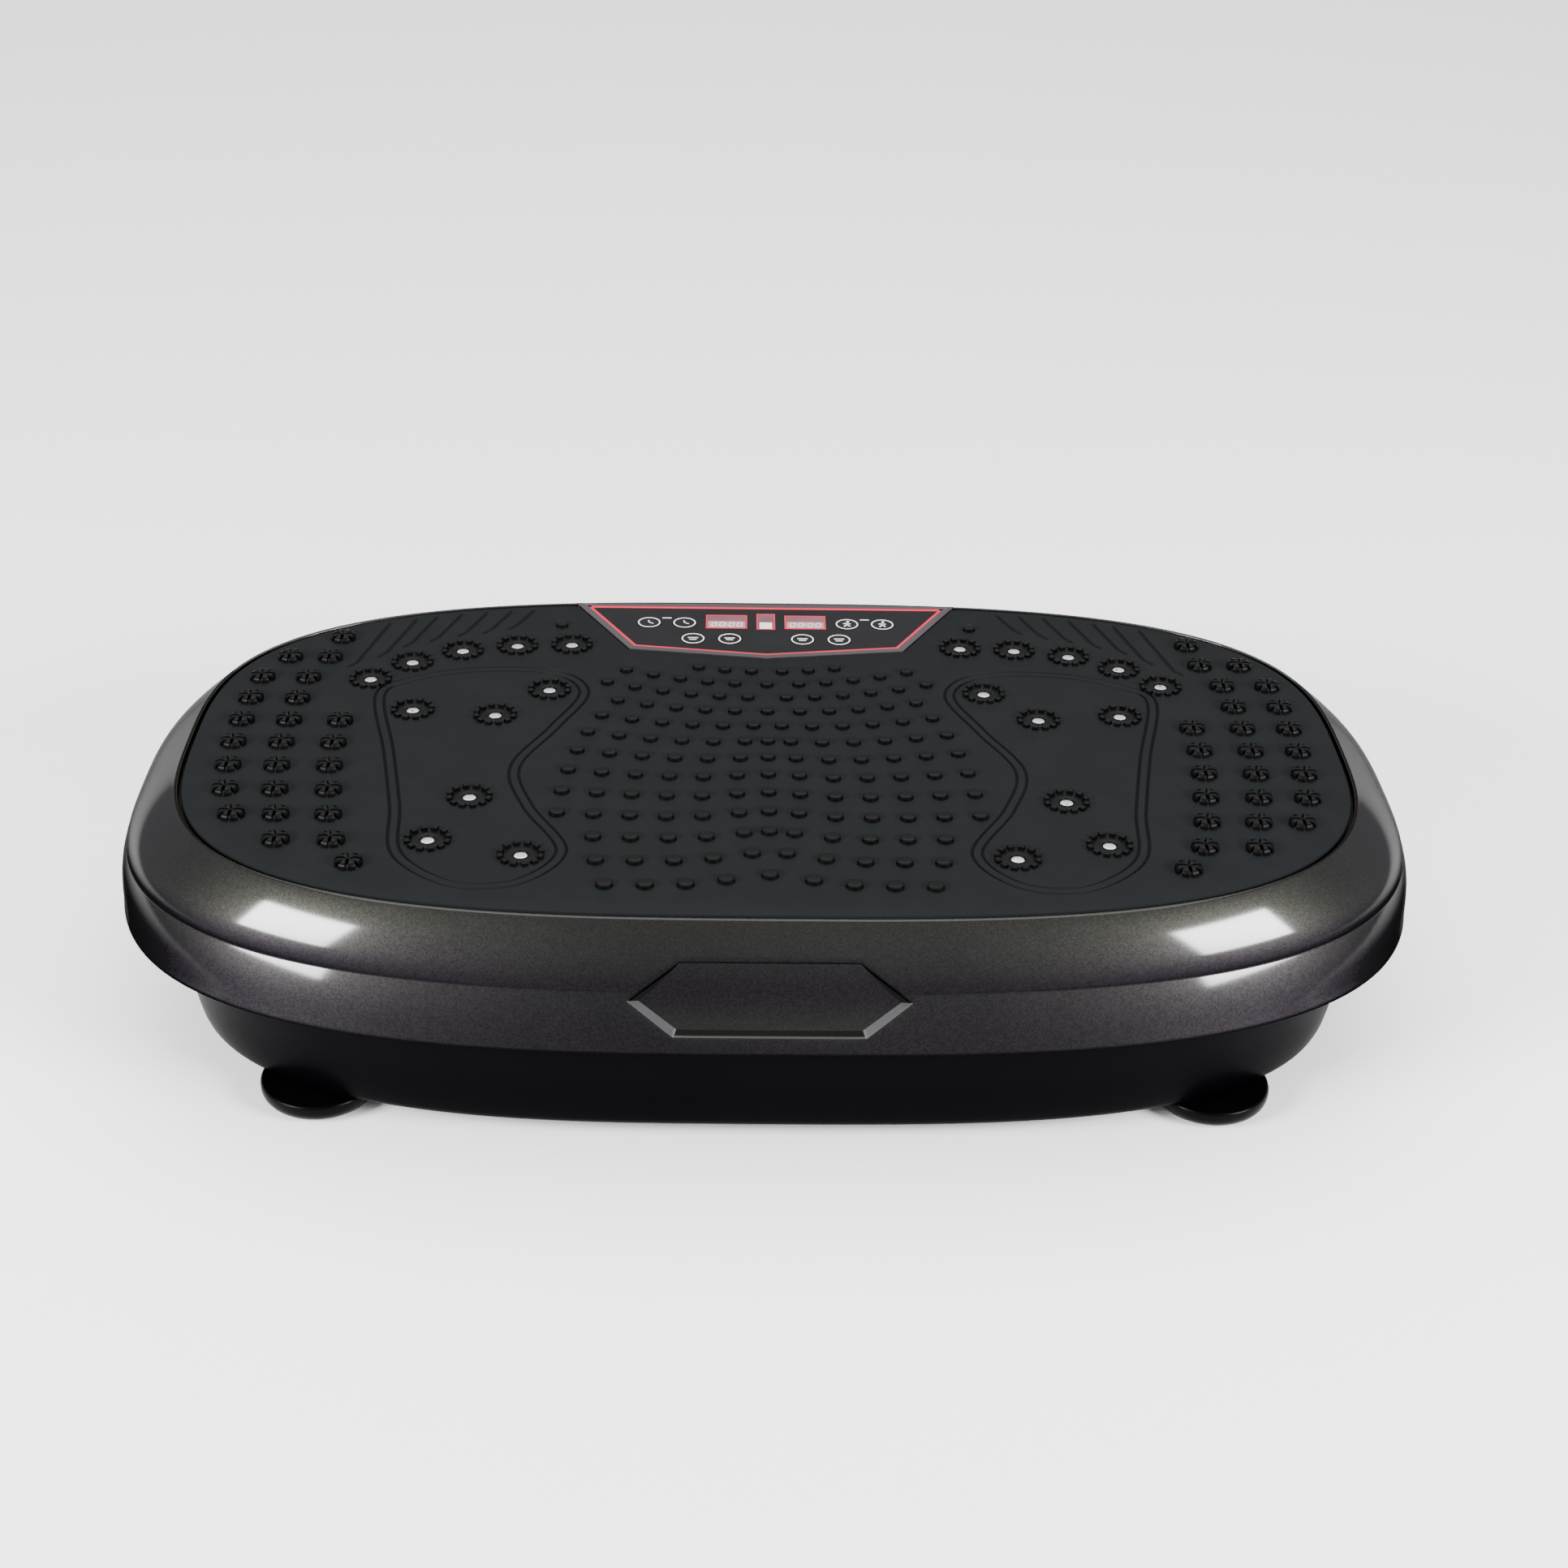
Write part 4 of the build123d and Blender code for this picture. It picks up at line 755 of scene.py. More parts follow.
def makeShell():
    columns, count = deck["columns"], len(rows)
    angle = columnAngles[None, :] + 0 * rowLength[:, None]
    grid = shellPoint(angle, rowLength[:, None] + 0 * angle)
    points, faces = ringChunk(grid)
    quads = faces[0]
    # the stretch of grid that the badge takes up is left out and filled by its own net
    halfColumns = int(np.searchsorted(grid[firstOut, :columns // 2, 0], badge["patchHalf"]))
    row, column = quads[:, 0] // columns, quads[:, 0] % columns
    near = (column < halfColumns) | (column >= columns - halfColumns)
    keep = ~(near & (row >= firstOut) & (row < lastOut))
    # so are the recess floor and the underside, which go round the tub that holds the panel
    floorRow, underRow = 2, count - 2
    keep &= (row >= floorRow) & (row < underRow)
    level = tubChunks(grid[floorRow], tub["inside"]) + tubChunks(grid[underRow], tub["outside"])
    loops, rim = badgeLoops(badge)
    scale = 205.0

    def flatten(p, along):
        turn = np.arctan2(p[:, 1], p[:, 0]) + np.pi / 2
        return np.stack([turn * scale, along], -1)

    outZ = rows[firstOut:lastOut + 1, 1][::-1]
    outAlong = rowLength[firstOut:lastOut + 1][::-1]
    rimFlat = flatten(rim, np.interp(rim[:, 2], outZ, outAlong))
    cols = np.arange(-halfColumns, halfColumns + 1) % columns
    left = grid[firstOut:lastOut + 1, cols[0]]
    right = grid[firstOut:lastOut + 1, cols[-1]]
    edgeLoop = np.concatenate([
        flatten(grid[firstOut, cols[:-1]], np.full(len(cols) - 1, rowLength[firstOut])),
        flatten(right[:-1], rowLength[firstOut:lastOut]),
        flatten(grid[lastOut, cols[::-1]][:-1], np.full(len(cols) - 1, rowLength[lastOut])),
        flatten(left[::-1][:-1], rowLength[firstOut + 1:lastOut + 1][::-1]),
    ])
    spanX = np.linspace(edgeLoop[:, 0].min(), edgeLoop[:, 0].max(), 61)[1:-1]
    inner = rowLength[firstOut + 1:lastOut]
    lattice = np.stack(np.meshgrid(spanX, inner), -1).reshape(-1, 2)
    centre = rimFlat.mean(0)
    wide = centre + (rimFlat - centre) * np.array([1.025, 1.09])
    lattice = lattice[~inside(lattice, wide)]
    flat, triangles, _ = fillLoops(lattice, [(edgeLoop, True), (rimFlat, True)])
    middle = flat[triangles].mean(1)
    triangles = triangles[inside(middle, edgeLoop) & ~inside(middle, rimFlat)]
    patch = shellPoint(flat[:, 0] / scale - np.pi / 2, flat[:, 1])
    hexPoints = np.concatenate([loops.reshape(-1, 3), loops[-1].mean(0)[None]])
    hexFaces = [gridFaces(len(loops), loops.shape[1]),
                fanFaces((len(loops) - 1) * loops.shape[1], loops.shape[1], len(hexPoints) - 1)]
    chunks = [(points, [quads[keep]]), *level, (patch, [triangles]), (hexPoints, hexFaces)]
    piece = makePiece("top_shell_skin", chunks, "deck", materials["shell_paint"], sharp=50, outward=False)
    mesh = piece.data
    mesh.materials.append(materials["badge_floor"])
    darkFaces = len(hexFaces[0]) - 3 * loops.shape[1]
    firstHex = len(mesh.polygons) - len(hexFaces[0]) - len(hexFaces[1])
    slots = np.zeros(len(mesh.polygons), np.int32)
    slots[firstHex + darkFaces:] = 1
    # painted highlight: the bevel's lower-left and lower-right facets take the lighter badge_facet copy of
    # the paint
    mesh.materials.append(materials["badge_facet"])
    span = loops.shape[1] // 6
    for side in (1, 5):
        for row in (1, 2, 3):
            start = firstHex + row * loops.shape[1] + side * span
            slots[start:start + span] = 2
    mesh.polygons.foreach_set("material_index", slots)
    mergeMesh(mesh, 3e-5, dropLoose=True)
    mesh.set_sharp_from_angle(angle=math.radians(50))
    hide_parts("top_shell")
    return piece


makeShell()
print("top shell made")

# ---- rubber mat ----

mat = {
    "halfLength": 300.0, "halfWidth": 170.0, "squareness": 3.03, "thick": 3.5, "panelGap": 0.7,
    "groove": [(-0.95, 0.0), (-0.5, -1.0), (0.0, -1.2), (0.5, -1.0), (0.95, 0.0)],
    "footInner": 5.0, "stripeWide": 1.5, "hole": 5.3, "lattice": 11.0,
}
# outline of one foot, drawn on the left half
footPoints = [
    (-212, 50), (-199, 71), (-162, 85), (-116, 83), (-97, 57), (-111, 15), (-128, -28), (-119, -67),
    (-99, -112), (-119, -143), (-152, -146), (-183, -118), (-190, -70), (-200, -12),
]
# stripes near the far corners: each bends once, and runs from there out to the mat's edge
stripeBends = [(-227, 90), (-212, 103), (-199, 116), (-185, 123), (-170, 130), (-156, 134), (-142, 140)]


def matOutline():
    # the oval with the panel's outline cut out of its far side
    x, y = oval(columnAngles, mat["halfLength"], mat["halfWidth"], mat["squareness"])
    rim = np.stack([x, y], -1)
    notch = shifted(panelPath, -mat["panelGap"], closed=False)
    share = np.linspace(0, 1, 40)[:, None]
    sides = [notch[k] * (1 - share) + notch[k + 1] * share for k in range(4)]
    walk = np.concatenate([s[:-1] for s in sides] + [notch[-1:]])
    reach = (np.abs(walk[:, 0]) / mat["halfLength"]) ** mat["squareness"]
    reach += (np.abs(walk[:, 1]) / mat["halfWidth"]) ** mat["squareness"]
    walk = walk[reach < 0.9985]
    closedNotch = np.vstack([walk, (walk[-1, 0], 400), (walk[0, 0], 400)])
    start = columnAngles - columnAngles[0]
    right = rim[(start < np.pi) & ~inside(rim, closedNotch) & (rim[:, 0] >= 0)]
    left = rim[(start >= np.pi) & ~inside(rim, closedNotch) & (rim[:, 0] < 0)]
    right = right[right[:, 0] - walk[-1, 0] > 1.0 - 400 * (right[:, 1] < 100)]
    left = left[walk[0, 0] - left[:, 0] > 1.0 - 400 * (left[:, 1] < 100)]
    return np.concatenate([right, walk[::-1], left])


def openPath(points, step=2.5):
    # a polyline divided evenly, so that it can take a slight bend
    pieces = []
    for a, b in zip(points[:-1], points[1:]):
        count = max(2, int(np.hypot(*(np.subtract(b, a))) / step))
        pieces.append(np.linspace(a, b, count, endpoint=False))
    return np.vstack(pieces + [np.asarray(points[-1:], float)])


def groovePaths():
    foot = smoothLoop(footPoints, 16)
    paths = []
    for loop in (foot, shifted(foot, -mat["footInner"])):
        paths.append((loop, True))
        paths.append((loop * (-1, 1), True))
    for k, (x, y) in enumerate(stripeBends):
        lean = 0.25 + 0.03 * k
        rise = np.linspace(0, 80, 400)
        line = np.stack([x + rise * lean, y + rise], -1)
        share = np.abs(line) / [mat["halfLength"] - 3, mat["halfWidth"] - 3]
        inEdge = (share ** mat["squareness"]).sum(1)
        top = line[inEdge < 1][-1]
        stripe = openPath([tuple(top), (x, y), (x - 5, y - 6)])
        paths.append((stripe, False))
        paths.append((stripe * (-1, 1), False))
    return paths


def spotCentres(height, radius):
    # middles of the round tops that the CAD mat has at this height
    mesh = frame["nodes"]["rubber_mat"].data
    co = np.zeros(len(mesh.vertices) * 3, np.float32)
    mesh.vertices.foreach_get("co", co)
    co = co.reshape(-1, 3).astype(float) / mm
    spots = co[np.abs(co[:, 2] - matTop - height) < 0.02][:, :2]
    centres = []
    while len(spots):
        near = np.hypot(*(spots - spots[0]).T) < 2 * radius + 1.0
        centres.append((spots[near].min(0) + spots[near].max(0)) / 2)
        spots = spots[~near]
    return np.array(centres)


def magnetCentres():
    mesh = frame["nodes"]["mat_magnets"].data
    co = np.array([v.co[:2] for v in mesh.vertices]) / mm
    centres = []
    while len(co):
        near = np.hypot(*(co - co[0]).T) < 12
        centres.append((co[near].min(0) + co[near].max(0)) / 2)
        co = co[~near]
    return np.array(centres)


magnets = magnetCentres()


def circleLoop(centre, radius, count):
    turn = np.linspace(0, 2 * np.pi, count, endpoint=False)
    return centre + radius * np.stack([np.cos(turn), np.sin(turn)], -1)


def matSheet():
    # one flat net whose lines follow the rim, the grooves and the holes, then lifted to their heights
    outline = matOutline()
    rimSteps = [(0.0, -0.9), (0.28, -0.28), (0.9, 0.0)]
    lines, heights = [], []
    for inset, z in rimSteps:
        loop = shifted(outline, inset)
        lines.append((loop, True))
        heights.append(np.full(len(loop), z))
    for path, closed in groovePaths():
        fade = np.ones(len(path))
        if not closed:
            fade[[0, -1]] = 0.0
        for side, z in mat["groove"]:
            line = shifted(path, side * (1.0 if closed else mat["stripeWide"]), closed)
            lines.append((line, closed))
            heights.append(z * fade)
    for centre in magnets:
        for grow, z in ((0.35, 0.0), (0.0, -0.3), (-0.08, -2.5)):
            line = circleLoop(centre, mat["hole"] + grow, 28)
            lines.append((line, True))
            heights.append(np.full(28, z))
    step = mat["lattice"]
    gx, gy = np.meshgrid(np.arange(-300, 301, step), np.arange(-176, 177, step * 0.866))
    gx = gx + (np.arange(len(gx)) % 2)[:, None] * step / 2
    loose = np.stack([gx.ravel(), gy.ravel()], -1)
    loose = loose[inside(loose, shifted(outline, 5))]
    taken = np.concatenate([line for line, _ in lines])
    far = np.array([np.hypot(*(taken - p).T).min() > 3.0 for p in loose])
    loose = loose[far]
    flat, triangles, source = fillLoops(loose, lines)
    middle = flat[triangles].mean(1)
    triangles = triangles[inside(middle, outline)]
    allHeights = np.concatenate([np.zeros(len(loose)), *heights])
    z = np.array([allHeights[s[0]] if s else 0.0 for s in source])
    top = np.column_stack([flat, matTop + z])
    # the rim goes down to the sheet's flat underside
    low = outline
    count = len(low)
    first = np.column_stack([low, np.full(count, matTop + rimSteps[0][1])])
    last = np.column_stack([low, np.full(count, matTop - mat["thick"])])
    underFlat, underTriangles, _ = fillLoops([], [(low, True)])
    underMiddle = underFlat[underTriangles].mean(1)
    underTriangles = underTriangles[inside(underMiddle, low)]
    under = np.column_stack([underFlat, np.full(len(underFlat), matTop - mat["thick"])])
    return [(top, [triangles]), (np.vstack([first, last]), [gridFaces(2, count)]), (under, [underTriangles])]


def bumpChunks():
    # low round studs, a little larger towards the front
    profile = np.array([(1.0, -0.4), (0.985, 0.3), (0.93, 1.7), (0.8, 2.1), (0.5, 2.2)])
    turn = np.linspace(0, 2 * np.pi, 14, endpoint=False)
    chunks = []
    for x, y in spotCentres(2.2, 2.6):
        radius = np.interp(y, [-145, 90], [4.5, 3.6])
        ring = profile[:, :1] * radius
        rings = np.stack([x + ring * np.cos(turn), y + ring * np.sin(turn),
                          matTop + profile[:, 1:] + 0 * ring * turn], -1)
        chunks.append(ringChunk(rings))
    return chunks


def domeChunk(x, y):
    # a round pad cut by a cross of slits, with four more slits at its rim
    sectors = np.arange(8) * np.pi / 4
    radii = np.array([0.8, 1.5, 2.6, 3.9, 4.7, 5.8, 6.6, 6.95, 7.0])
    crown = np.array([3.0, 3.3, 3.5, 3.5, 3.4, 3.1, 2.5, 1.4, -0.4])
    halfSlit = 0.62
    columns, heights = [], []
    for k, middle in enumerate(sectors):
        slit = np.arcsin(np.minimum(halfSlit / radii, 0.38))
        edge = np.arcsin(np.minimum((halfSlit + 0.3) / radii, 0.39))
        main = k % 2 == 0
        depth = np.where(radii > 4.2, 1.0, 1.0 if main else 0.0)
        low = np.minimum(crown, crown - 2.0 * depth * (crown > 0.5))
        low = np.maximum(low, -0.4)
        columns += [middle - slit, middle + slit, middle + edge, middle + np.pi / 8 + 0 * radii,
                    middle + np.pi / 4 - edge]
        heights += [low, low, crown, crown, crown]
    turn = np.array(columns).T
    z = np.array(heights).T
    rings = np.stack([x + radii[:, None] * np.cos(turn), y + radii[:, None] * np.sin(turn), matTop + z], -1)
    return ringChunk(rings)


def toothChunks(x, y):
    # twelve blocks standing in a ring, each narrower at its top
    chunks = []
    profile = [(1.0, -0.4), (1.0, 1.2), (0.93, 1.65), (0.72, 1.85)]
    corner = np.array([(-1, -1), (-0.35, -1.0), (0.35, -1.0), (1, -1), (1, 1), (0.35, 1.0),
                       (-0.35, 1.0), (-1, 1)])
    for turn in np.arange(12) * np.pi / 6 + np.pi / 12:
        along = np.array([np.cos(turn), np.sin(turn)])
        across = np.array([-along[1], along[0]])
        rings = []
        for share, z in profile:
            tooth = corner[:, 1:] * along * 1.35 + corner[:, :1] * across * 1.6
            plan = np.array([x, y]) + along * 10.3 + tooth * share
            rings.append(np.column_stack([plan, np.full(len(plan), matTop + z)]))
        chunks.append(ringChunk(rings))
    return chunks


def makeMat():
    sheet = matSheet()
    piece = makePiece("mat_sheet", sheet, "deck", materials["mat_rubber"], sharp=30, outward=False)
    mergeMesh(piece.data, 2e-6)
    piece.data.set_sharp_from_angle(angle=math.radians(30))
    # studs, domes, ring teeth and washers take the darker nodule rubber, painted shade on the mat's own
    # rubber
    bumps = bumpChunks()
    studs = makePiece("mat_bumps", bumps, "deck", materials["nodule_rubber"], sharp=40)
    domes = [domeChunk(x, y) for x, y in spotCentres(3.5, 4.3)]
    pads = makePiece("mat_domes", domes, "deck", materials["nodule_rubber"], sharp=40)
    teeth = [c for x, y in magnets for c in toothChunks(x, y)]
    turn = np.linspace(0, 2 * np.pi, 40, endpoint=False)
    washer = np.array([(4.9, -1.3), (3.5, -1.3), (3.45, -0.2), (3.7, 0.2), (4.3, 0.4), (6.1, 0.5),
                       (8.2, 0.42),
                       (8.7, 0.1), (8.75, -0.3)])
    for x, y in magnets:
        rings = np.stack([x + washer[:, :1] * np.cos(turn), y + washer[:, :1] * np.sin(turn),
                          matTop + washer[:, 1:] + 0 * turn], -1)
        closed = np.concatenate([rings, rings[:1]])
        teeth.append((closed.reshape(-1, 3), [gridFaces(len(closed), 40)]))
    rings = makePiece("mat_ring_teeth", teeth, "deck", materials["nodule_rubber"], sharp=40)
    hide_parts("rubber_mat")
    profile = [(0.1, -2.6), (3.1, -2.6), (3.3, -2.4), (3.3, -0.5), (3.2, -0.36), (3.0, -0.3), (1.5, -0.28)]
    discs = [turned(profile, x, y, matTop, 32) for x, y in magnets]
    nickel = makePiece("magnet_discs", discs, "deck", materials["magnet_nickel"], sharp=30)
    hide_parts("mat_magnets")
    print("mat made:", len(bumps), "bumps,", len(domes), "domes,", len(magnets), "rings")


makeMat()

# ---- lower bowl ----

bowl = {
    "rows": [(306.4, 187.9, 80.0), (307.0, 188.5, 79.7), (309.7, 191.2, 79.7), (310.0, 191.5, 79.2),
             (309.2, 190.7, 74.0), (308.2, 189.6, 66.0), (307.2, 188.6, 60.0), (306.3, 187.7, 54.0),
             (304.9, 186.3, 46.0), (303.6, 185.0, 38.0), (302.6, 184.0, 30.0), (301.3, 182.7, 22.0),
             (300.2, 181.6, 16.6), (299.4, 180.8, 14.4), (298.0, 179.4, 12.9), (296.0, 177.4, 12.15),
             (292.0, 173.4, 12.0), (200.0, 110.0, 12.0), (60.0, 36.0, 12.0)],
    "wall": 3.0, "square": 3.12,
    "pad": (-136.0, -26.0, 24.0, 56.0, 190.5, 176.5), "ledge": 0.8,
    "windows": [(-60.0, 40.0, 13.7, 10.2), (-112.0, 40.0, 10.7, 7.7)],
}


def bowlGrid(shrink, floor):
    # the same oval rows for both skins; the inner one is a wall in and stops at the floor
    table = np.array(bowl["rows"])
    halfX, halfY, z = (table - [[shrink, shrink, 0]]).T
    z = np.maximum(z, floor)
    x, y = oval(columnAngles[None, :], halfX[:, None], halfY[:, None], bowl["square"])
    return np.stack([x, y, z[:, None] + 0 * x], -1)


def rectangle(x0, x1, z0, z1, step=3.0):
    across = np.linspace(x0, x1, max(2, int((x1 - x0) / step)))
    upward = np.linspace(z0, z1, max(2, int((z1 - z0) / step)))
    sides = [(across, z0 + 0 * across), (x1 + 0 * upward, upward), (across[::-1], z1 + 0 * across),
             (x0 + 0 * upward, upward[::-1])]
    return np.concatenate([np.stack(s, -1)[:-1] for s in sides])


def skinWithPad(grid, padY, outer):
    # the quads near the pad are left out, and a net with the pad and its two windows takes their place
    columns = grid.shape[1]
    points, faces = ringChunk(grid, capStart=False)
    quads, cap = faces
    x0, x1, z0, z1 = bowl["pad"][:4]
    top, bottom = (5, 12) if outer else (5, 11)
    backX = grid[9, :, 0]
    back = grid[9, :, 1] > 0
    chosen = np.where(back & (backX > x0 - 12) & (backX < x1 + 12))[0]
    first, last = chosen.min(), chosen.max()
    row, column = quads[:, 0] // columns, quads[:, 0] % columns
    keep = ~((row >= top) & (row < bottom) & (column >= first) & (column < last))
    block = grid[top:bottom + 1, first:last + 1]
    edge = np.concatenate([block[0, :-1], block[:-1, -1], block[-1, :0:-1], block[:0:-1, 0]])
    order = np.argsort(grid[9, first:last + 1, 0])
    skinX = grid[9, first:last + 1, 0][order]

    def skinY(x, z):
        # the skin's place behind any x and height, read off the grid's own rows
        rowsZ = block[::-1, 0, 2]
        table = np.array([np.interp(x, skinX, block[k, order, 1]) for k in range(len(block))])[::-1]
        place = np.interp(z, rowsZ, np.arange(len(rowsZ)))
        low = np.clip(place.astype(int), 0, len(rowsZ) - 2)
        part = place - low
        each = np.arange(len(x))
        return table[low, each] * (1 - part) + table[low + 1, each] * part

    inset = bowl["ledge"] if outer else -bowl["ledge"]
    footLoop = rectangle(x0, x1, z0, z1)
    middle = np.array([(x0 + x1) / 2, (z0 + z1) / 2])
    half = np.array([(x1 - x0) / 2, (z1 - z0) / 2])
    faceLoop = middle + (footLoop - middle) * (half - abs(inset)) / half
    holes = [rectangle(x - hx, x + hx, z - hz, z + hz) for x, z, hx, hz in bowl["windows"]]
    lines = [(edge[:, [0, 2]], True), (footLoop, True), (faceLoop, True)] + [(h, True) for h in holes]
    kinds = np.concatenate([np.zeros(len(edge)), np.zeros(len(footLoop)), np.ones(len(faceLoop))]
                           + [np.ones(len(h)) for h in holes])
    flat, triangles, source = fillLoops([], lines)
    centre = flat[triangles].mean(1)
    use = inside(centre, edge[:, [0, 2]])
    for hole in holes:
        use &= ~inside(centre, hole)
    raised = np.array([kinds[s[0]] if s else 0 for s in source])
    y = np.where(raised > 0, padY, skinY(flat[:, 0], flat[:, 1]))
    for k, s in enumerate(source):
        if s and s[0] < len(edge):
            y[k] = edge[s[0], 1]
    net = np.stack([flat[:, 0], y, flat[:, 1]], -1)
    return (points, [quads[keep], cap]), (net, [triangles[use]]), holes


def makeBowl():
    padFace, padBack = bowl["pad"][4:]
    outerGrid = bowlGrid(0.0, 12.0)
    innerGrid = bowlGrid(bowl["wall"], 15.0)
    innerGrid[0] = outerGrid[0]
    outer, outerNet, holes = skinWithPad(outerGrid, padFace, True)
    inner, innerNet, _ = skinWithPad(innerGrid, padBack, False)
    chunks = [outer, outerNet, inner, innerNet]
    for hole in holes:
        near = np.column_stack([hole[:, 0], np.full(len(hole), padFace), hole[:, 1]])
        far = np.column_stack([hole[:, 0], np.full(len(hole), padBack), hole[:, 1]])
        chunks.append((np.vstack([near, far]), [gridFaces(2, len(hole))]))
    piece = makePiece("bowl_skin", chunks, "base", materials["bowl_plastic"], sharp=32)
    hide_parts("base_bowl")


makeBowl()
print("bowl made")


# ---- feet: soft pads with a ring that rests on the floor ----

feet = {"x": 223.0, "y": 138.0, "profile": [
    (3.3, 7.0), (6.6, 7.0), (7.0, 6.6), (7.0, 0.6), (7.6, 0.05), (8.2, 0.0), (13.8, 0.0), (17.6,
                                                                                           0.15), (21.6, 0.7),
    (24.9, 1.9), (27.4, 3.6), (28.8, 5.6), (29.35, 7.4), (29.45, 9.0), (29.4, 10.2), (29.1,
                                                                                      11.2), (28.6, 11.8),
    (28.0, 12.0), (14.0, 12.0), (3.3, 12.0)]}


def makeFeet():
    profile = np.array(feet["profile"] + feet["profile"][:1])
    turn = np.linspace(0, 2 * np.pi, 72, endpoint=False)
    chunks = []
    for x in (-feet["x"], feet["x"]):
        for y in (-feet["y"], feet["y"]):
            rings = np.stack([x + profile[:, :1] * np.cos(turn), y + profile[:, :1] * np.sin(turn),
                              profile[:, 1:] + 0 * turn], -1)
            chunks.append((rings.reshape(-1, 3), [gridFaces(len(profile), 72)]))
    piece = makePiece("feet", chunks, "base", materials["foot_rubber"], sharp=50)
    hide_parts("rubber_feet")


makeFeet()
print("feet made")


# ---- control panel: rounded bezel and red line, window frames, digits, key rings and symbols ----

face = {"z": 126.6, "keyZ": 126.8, "print": 0.06, "bezelWide": 3.8}


def panelLoop(inset, step=4.0):
    # the panel's outline moved in by this much, its straight far side divided evenly
    near = openPath([tuple(corner) for corner in panelPath], step)
    x = np.linspace(panel["backHalf"], -panel["backHalf"], 45)[1:-1]
    far = np.stack([x, np.full(len(x), panel["backY"])], -1)
    return shifted(np.vstack([near, far]), inset)


def bandChunk(profile):
    # a profile of (inset, height) carried round the outline, closed on itself
    rings = []
    for inset, z in profile + profile[:1]:
        plan = panelLoop(inset)
        rings.append(np.column_stack([plan, np.full(len(plan), z)]))
    rings = np.array(rings)
    return rings.reshape(-1, 3), [gridFaces(len(rings), rings.shape[1])]


def strokeChunk(path, width, z, closed=False, high=None):
    # a printed line: a flat ribbon a few hundredths thick along a path
    high = face["print"] if high is None else high
    left, right = shifted(path, width / 2, closed), shifted(path, -width / 2, closed)
    count = len(path)
    rings = [np.column_stack([p, np.full(count, h)]) for p, h in
             ((left, z - 0.05), (left, z + high), (right, z + high), (right, z - 0.05))]
    points = np.array(rings).reshape(-1, 3)
    i = np.arange(count if closed else count - 1)
    j = (i + 1) % count
    faces = [np.stack([a * count + i, a * count + j, b * count + j, b * count + i], -1)
             for a, b in ((0, 1), (1, 2), (2, 3), (3, 0))]
    if not closed:
        ends = [[0, count, 2 * count, 3 * count], [count - 1, 4 * count - 1, 3 * count - 1, 2 * count - 1]]
        faces.append(np.array(ends))
    return points, faces


def arcPath(x, y, radius, start, end, count=24):
    turn = np.radians(np.linspace(start, end, count))
    return np.stack([x + radius * np.cos(turn), y + radius * np.sin(turn)], -1)


def boxPath(x, y, halfX, halfY):
    return np.array([(x - halfX, y - halfY), (x + halfX, y - halfY), (x + halfX, y + halfY),
                     (x - halfX, y + halfY)], float)


keys = {
    "key_time_down": (-67.0, 146.0, "hand"), "key_time_up": (-46.7, 146.0, "hand"),
    "key_speed_down": (46.7, 146.0, "walker"), "key_speed_up": (67.0, 146.0, "walker"),
    "key_power": (-41.5, 125.5, "bar"), "key_program": (-20.7, 125.5, "bar"),
    "key_mode": (20.7, 125.5, "bar"), "key_start": (41.5, 125.5, "bar"),
}


def keySymbol(kind, x, y):
    # simple marks: clock hands, a walking figure of strokes, or two short bars
    if kind == "hand":
        return [(np.array([(x - 0.4, y + 2.6), (x, y), (x + 2.4, y - 1.6)]), 0.75, False)]
    if kind == "walker":
        body = [(x + 0.3, y + 2.2), (x, y - 0.3), (x - 1.6, y - 3.0)]
        leg = [(x, y - 0.3), (x + 1.7, y - 2.9)]
        arm = [(x - 2.2, y + 0.6), (x + 0.2, y + 1.4), (x + 2.1, y + 0.3)]
        head = arcPath(x + 0.5, y + 3.5, 0.45, 0, 340, 9)
        return [(np.array(body, float), 1.0, False), (np.array(leg, float), 0.9, False),
                (np.array(arm, float), 0.8, False), (head, 0.8, True)]
    return [(np.array([(x - 2.9, y + 0.9), (x + 2.9, y + 0.9)], float), 1.0, False),
            (np.array([(x - 2.0, y - 1.4), (x + 2.0, y - 1.4)], float), 0.9, False)]


def digitStrokes(x, y, high, wide, lit):
    # a seven-bar digit, drawn with the bars that are lit
    ends = {
        "a": ((0, high), (wide, high)), "b": ((wide, high), (wide, high / 2)), "c": ((wide, high / 2),
                                                                                     (wide, 0)),
        "d": ((0, 0), (wide, 0)), "e": ((0, 0), (0, high / 2)), "f": ((0, high / 2), (0, high)),
        "g": ((0, high / 2), (wide, high / 2)),
    }
    lines = []
    for bar in lit:
        (ax, ay), (bx, by) = ends[bar]
        lean = 0.12
        a = np.array([x + ax + ay * lean, y + ay])
        b = np.array([x + bx + by * lean, y + by])
        gap = (b - a) * 0.1
        lines.append(np.array([a + gap, b - gap]))
    return lines


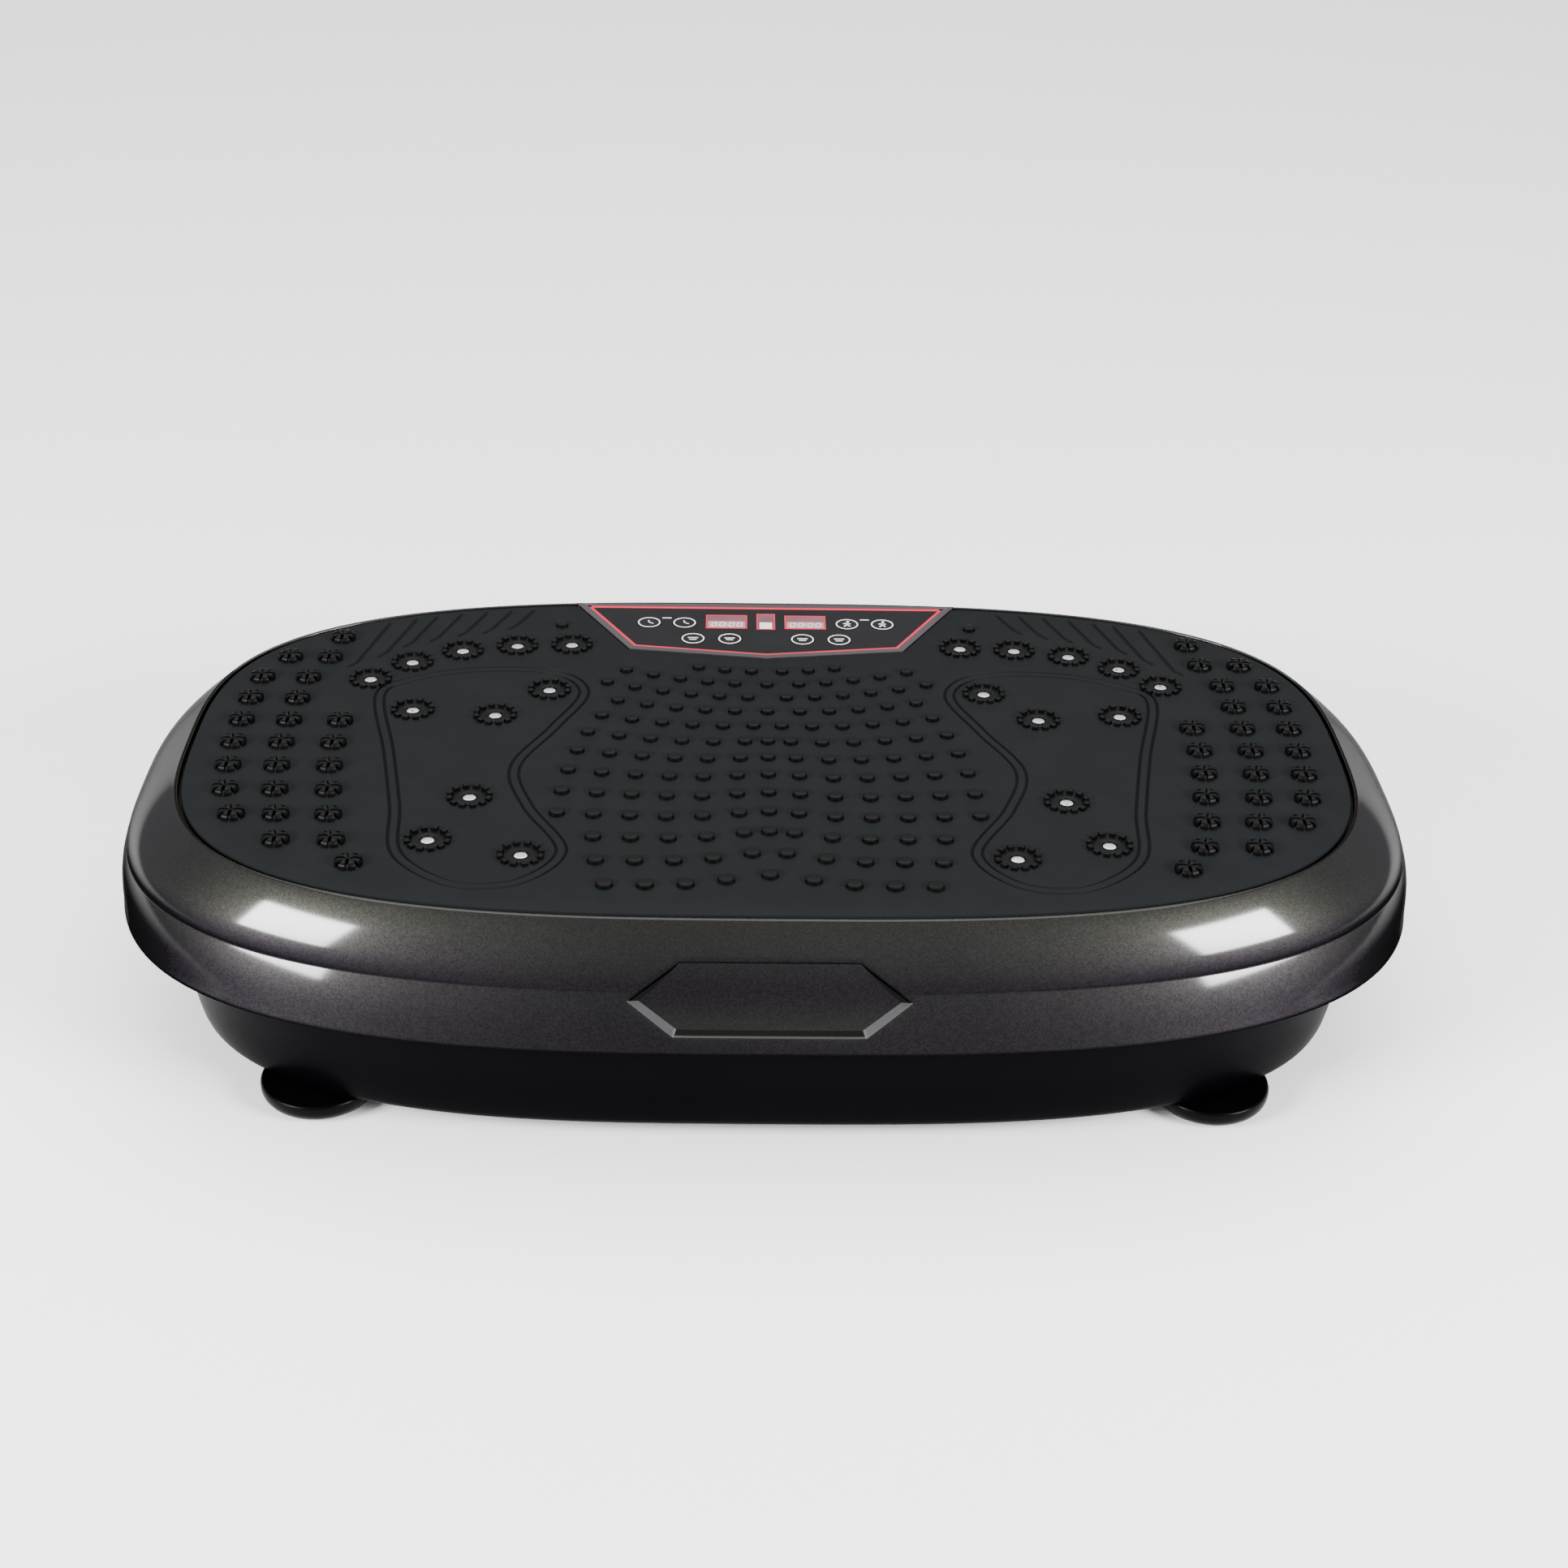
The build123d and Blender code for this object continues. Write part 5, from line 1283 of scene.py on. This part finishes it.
def makePanel():
    z = face["z"]
    wide = face["bezelWide"]
    bezel = [(0.0, 124.2), (0.0, 126.5), (0.18, 126.88), (0.6, 127.0), (wide - 1.2, 126.98),
             (wide - 0.75, 126.85),
             (wide - 0.6, 126.4), (wide - 0.6, 124.2)]
    piece = makePiece("bezel_band", [bandChunk(bezel)], "deck", materials["bezel_plastic"], sharp=40)
    w = wide
    trim = [(w - 0.45, 125.4), (w - 0.45, 126.75), (w - 0.25, 126.9), (w + 1.7, 126.9),
            (w + 1.9, 126.75), (w + 1.9, 125.4)]
    line = makePiece("trim_line", [bandChunk(trim)], "deck", materials["trim_red"], sharp=40)
    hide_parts("panel_trim")
    frames, digits, lower = [], [], []
    for side in (-1, 1):
        x, y = side * 22.6, 148.0
        frames.append(strokeChunk(boxPath(x, y, 11.4, 8.4), 0.9, z, True, 0.12))
        lower.append(strokeChunk(np.array([(x - 10.6, y - 3.4), (x + 10.6, y - 3.4)]), 8.0, z, False, 0.03))
        for k, place in enumerate((-8.6, -4.1, 1.4, 5.9)):
            lit = ("abcdef", "abcdef", "abcdef", "abcdef")[k]
            for stroke in digitStrokes(x + place, y - 5.9, 5.0, 2.5, lit):
                digits.append(strokeChunk(stroke, 0.62, z, False, 0.08))
        for up in (1.4, 3.4):
            digits.append(strokeChunk(np.array([(x - 0.55, y - 5.9 + up), (x + 0.15, y - 5.9 + up)]),
                                      0.7, z, False, 0.08))
    frames.append(strokeChunk(boxPath(0, 148.5, 4.9, 9.9), 0.9, z, True, 0.12))
    digits.append(strokeChunk(np.array([(-3.6, 143.4), (3.6, 143.4)]), 8.2, z, False, 0.05))
    label = [strokeChunk(np.array([(s * 57 - 2.6, 152.3), (s * 57 + 2.6, 152.3)]), 1.0, z,
                         False) for s in (-1, 1)]
    for name, chunks, look, slot in (
        ("window_frames", frames, "trim_red", "trim_red"), ("display_lower", lower, "window_pale",
                                                            "window_tint"),
        ("display_digits", digits, "key_print", "window_tint"), ("panel_labels", label, "key_print",
                                                                 "overlay_black"),
    ):
        makePiece(name, chunks, "deck", materials[look], sharp=30)
    for name, (x, y, kind) in keys.items():
        ring = arcPath(x, y, 6.1, 0, 360 - 360 / 48, 48)
        prints = [strokeChunk(ring, 0.75, face["keyZ"], True)]
        prints += [strokeChunk(path, width, face["keyZ"], closed) for path, width,
                   closed in keySymbol(kind, x, y)]
        makePiece(name + "_print", prints, name, materials["key_print"], sharp=30)


makePanel()
print("panel made")
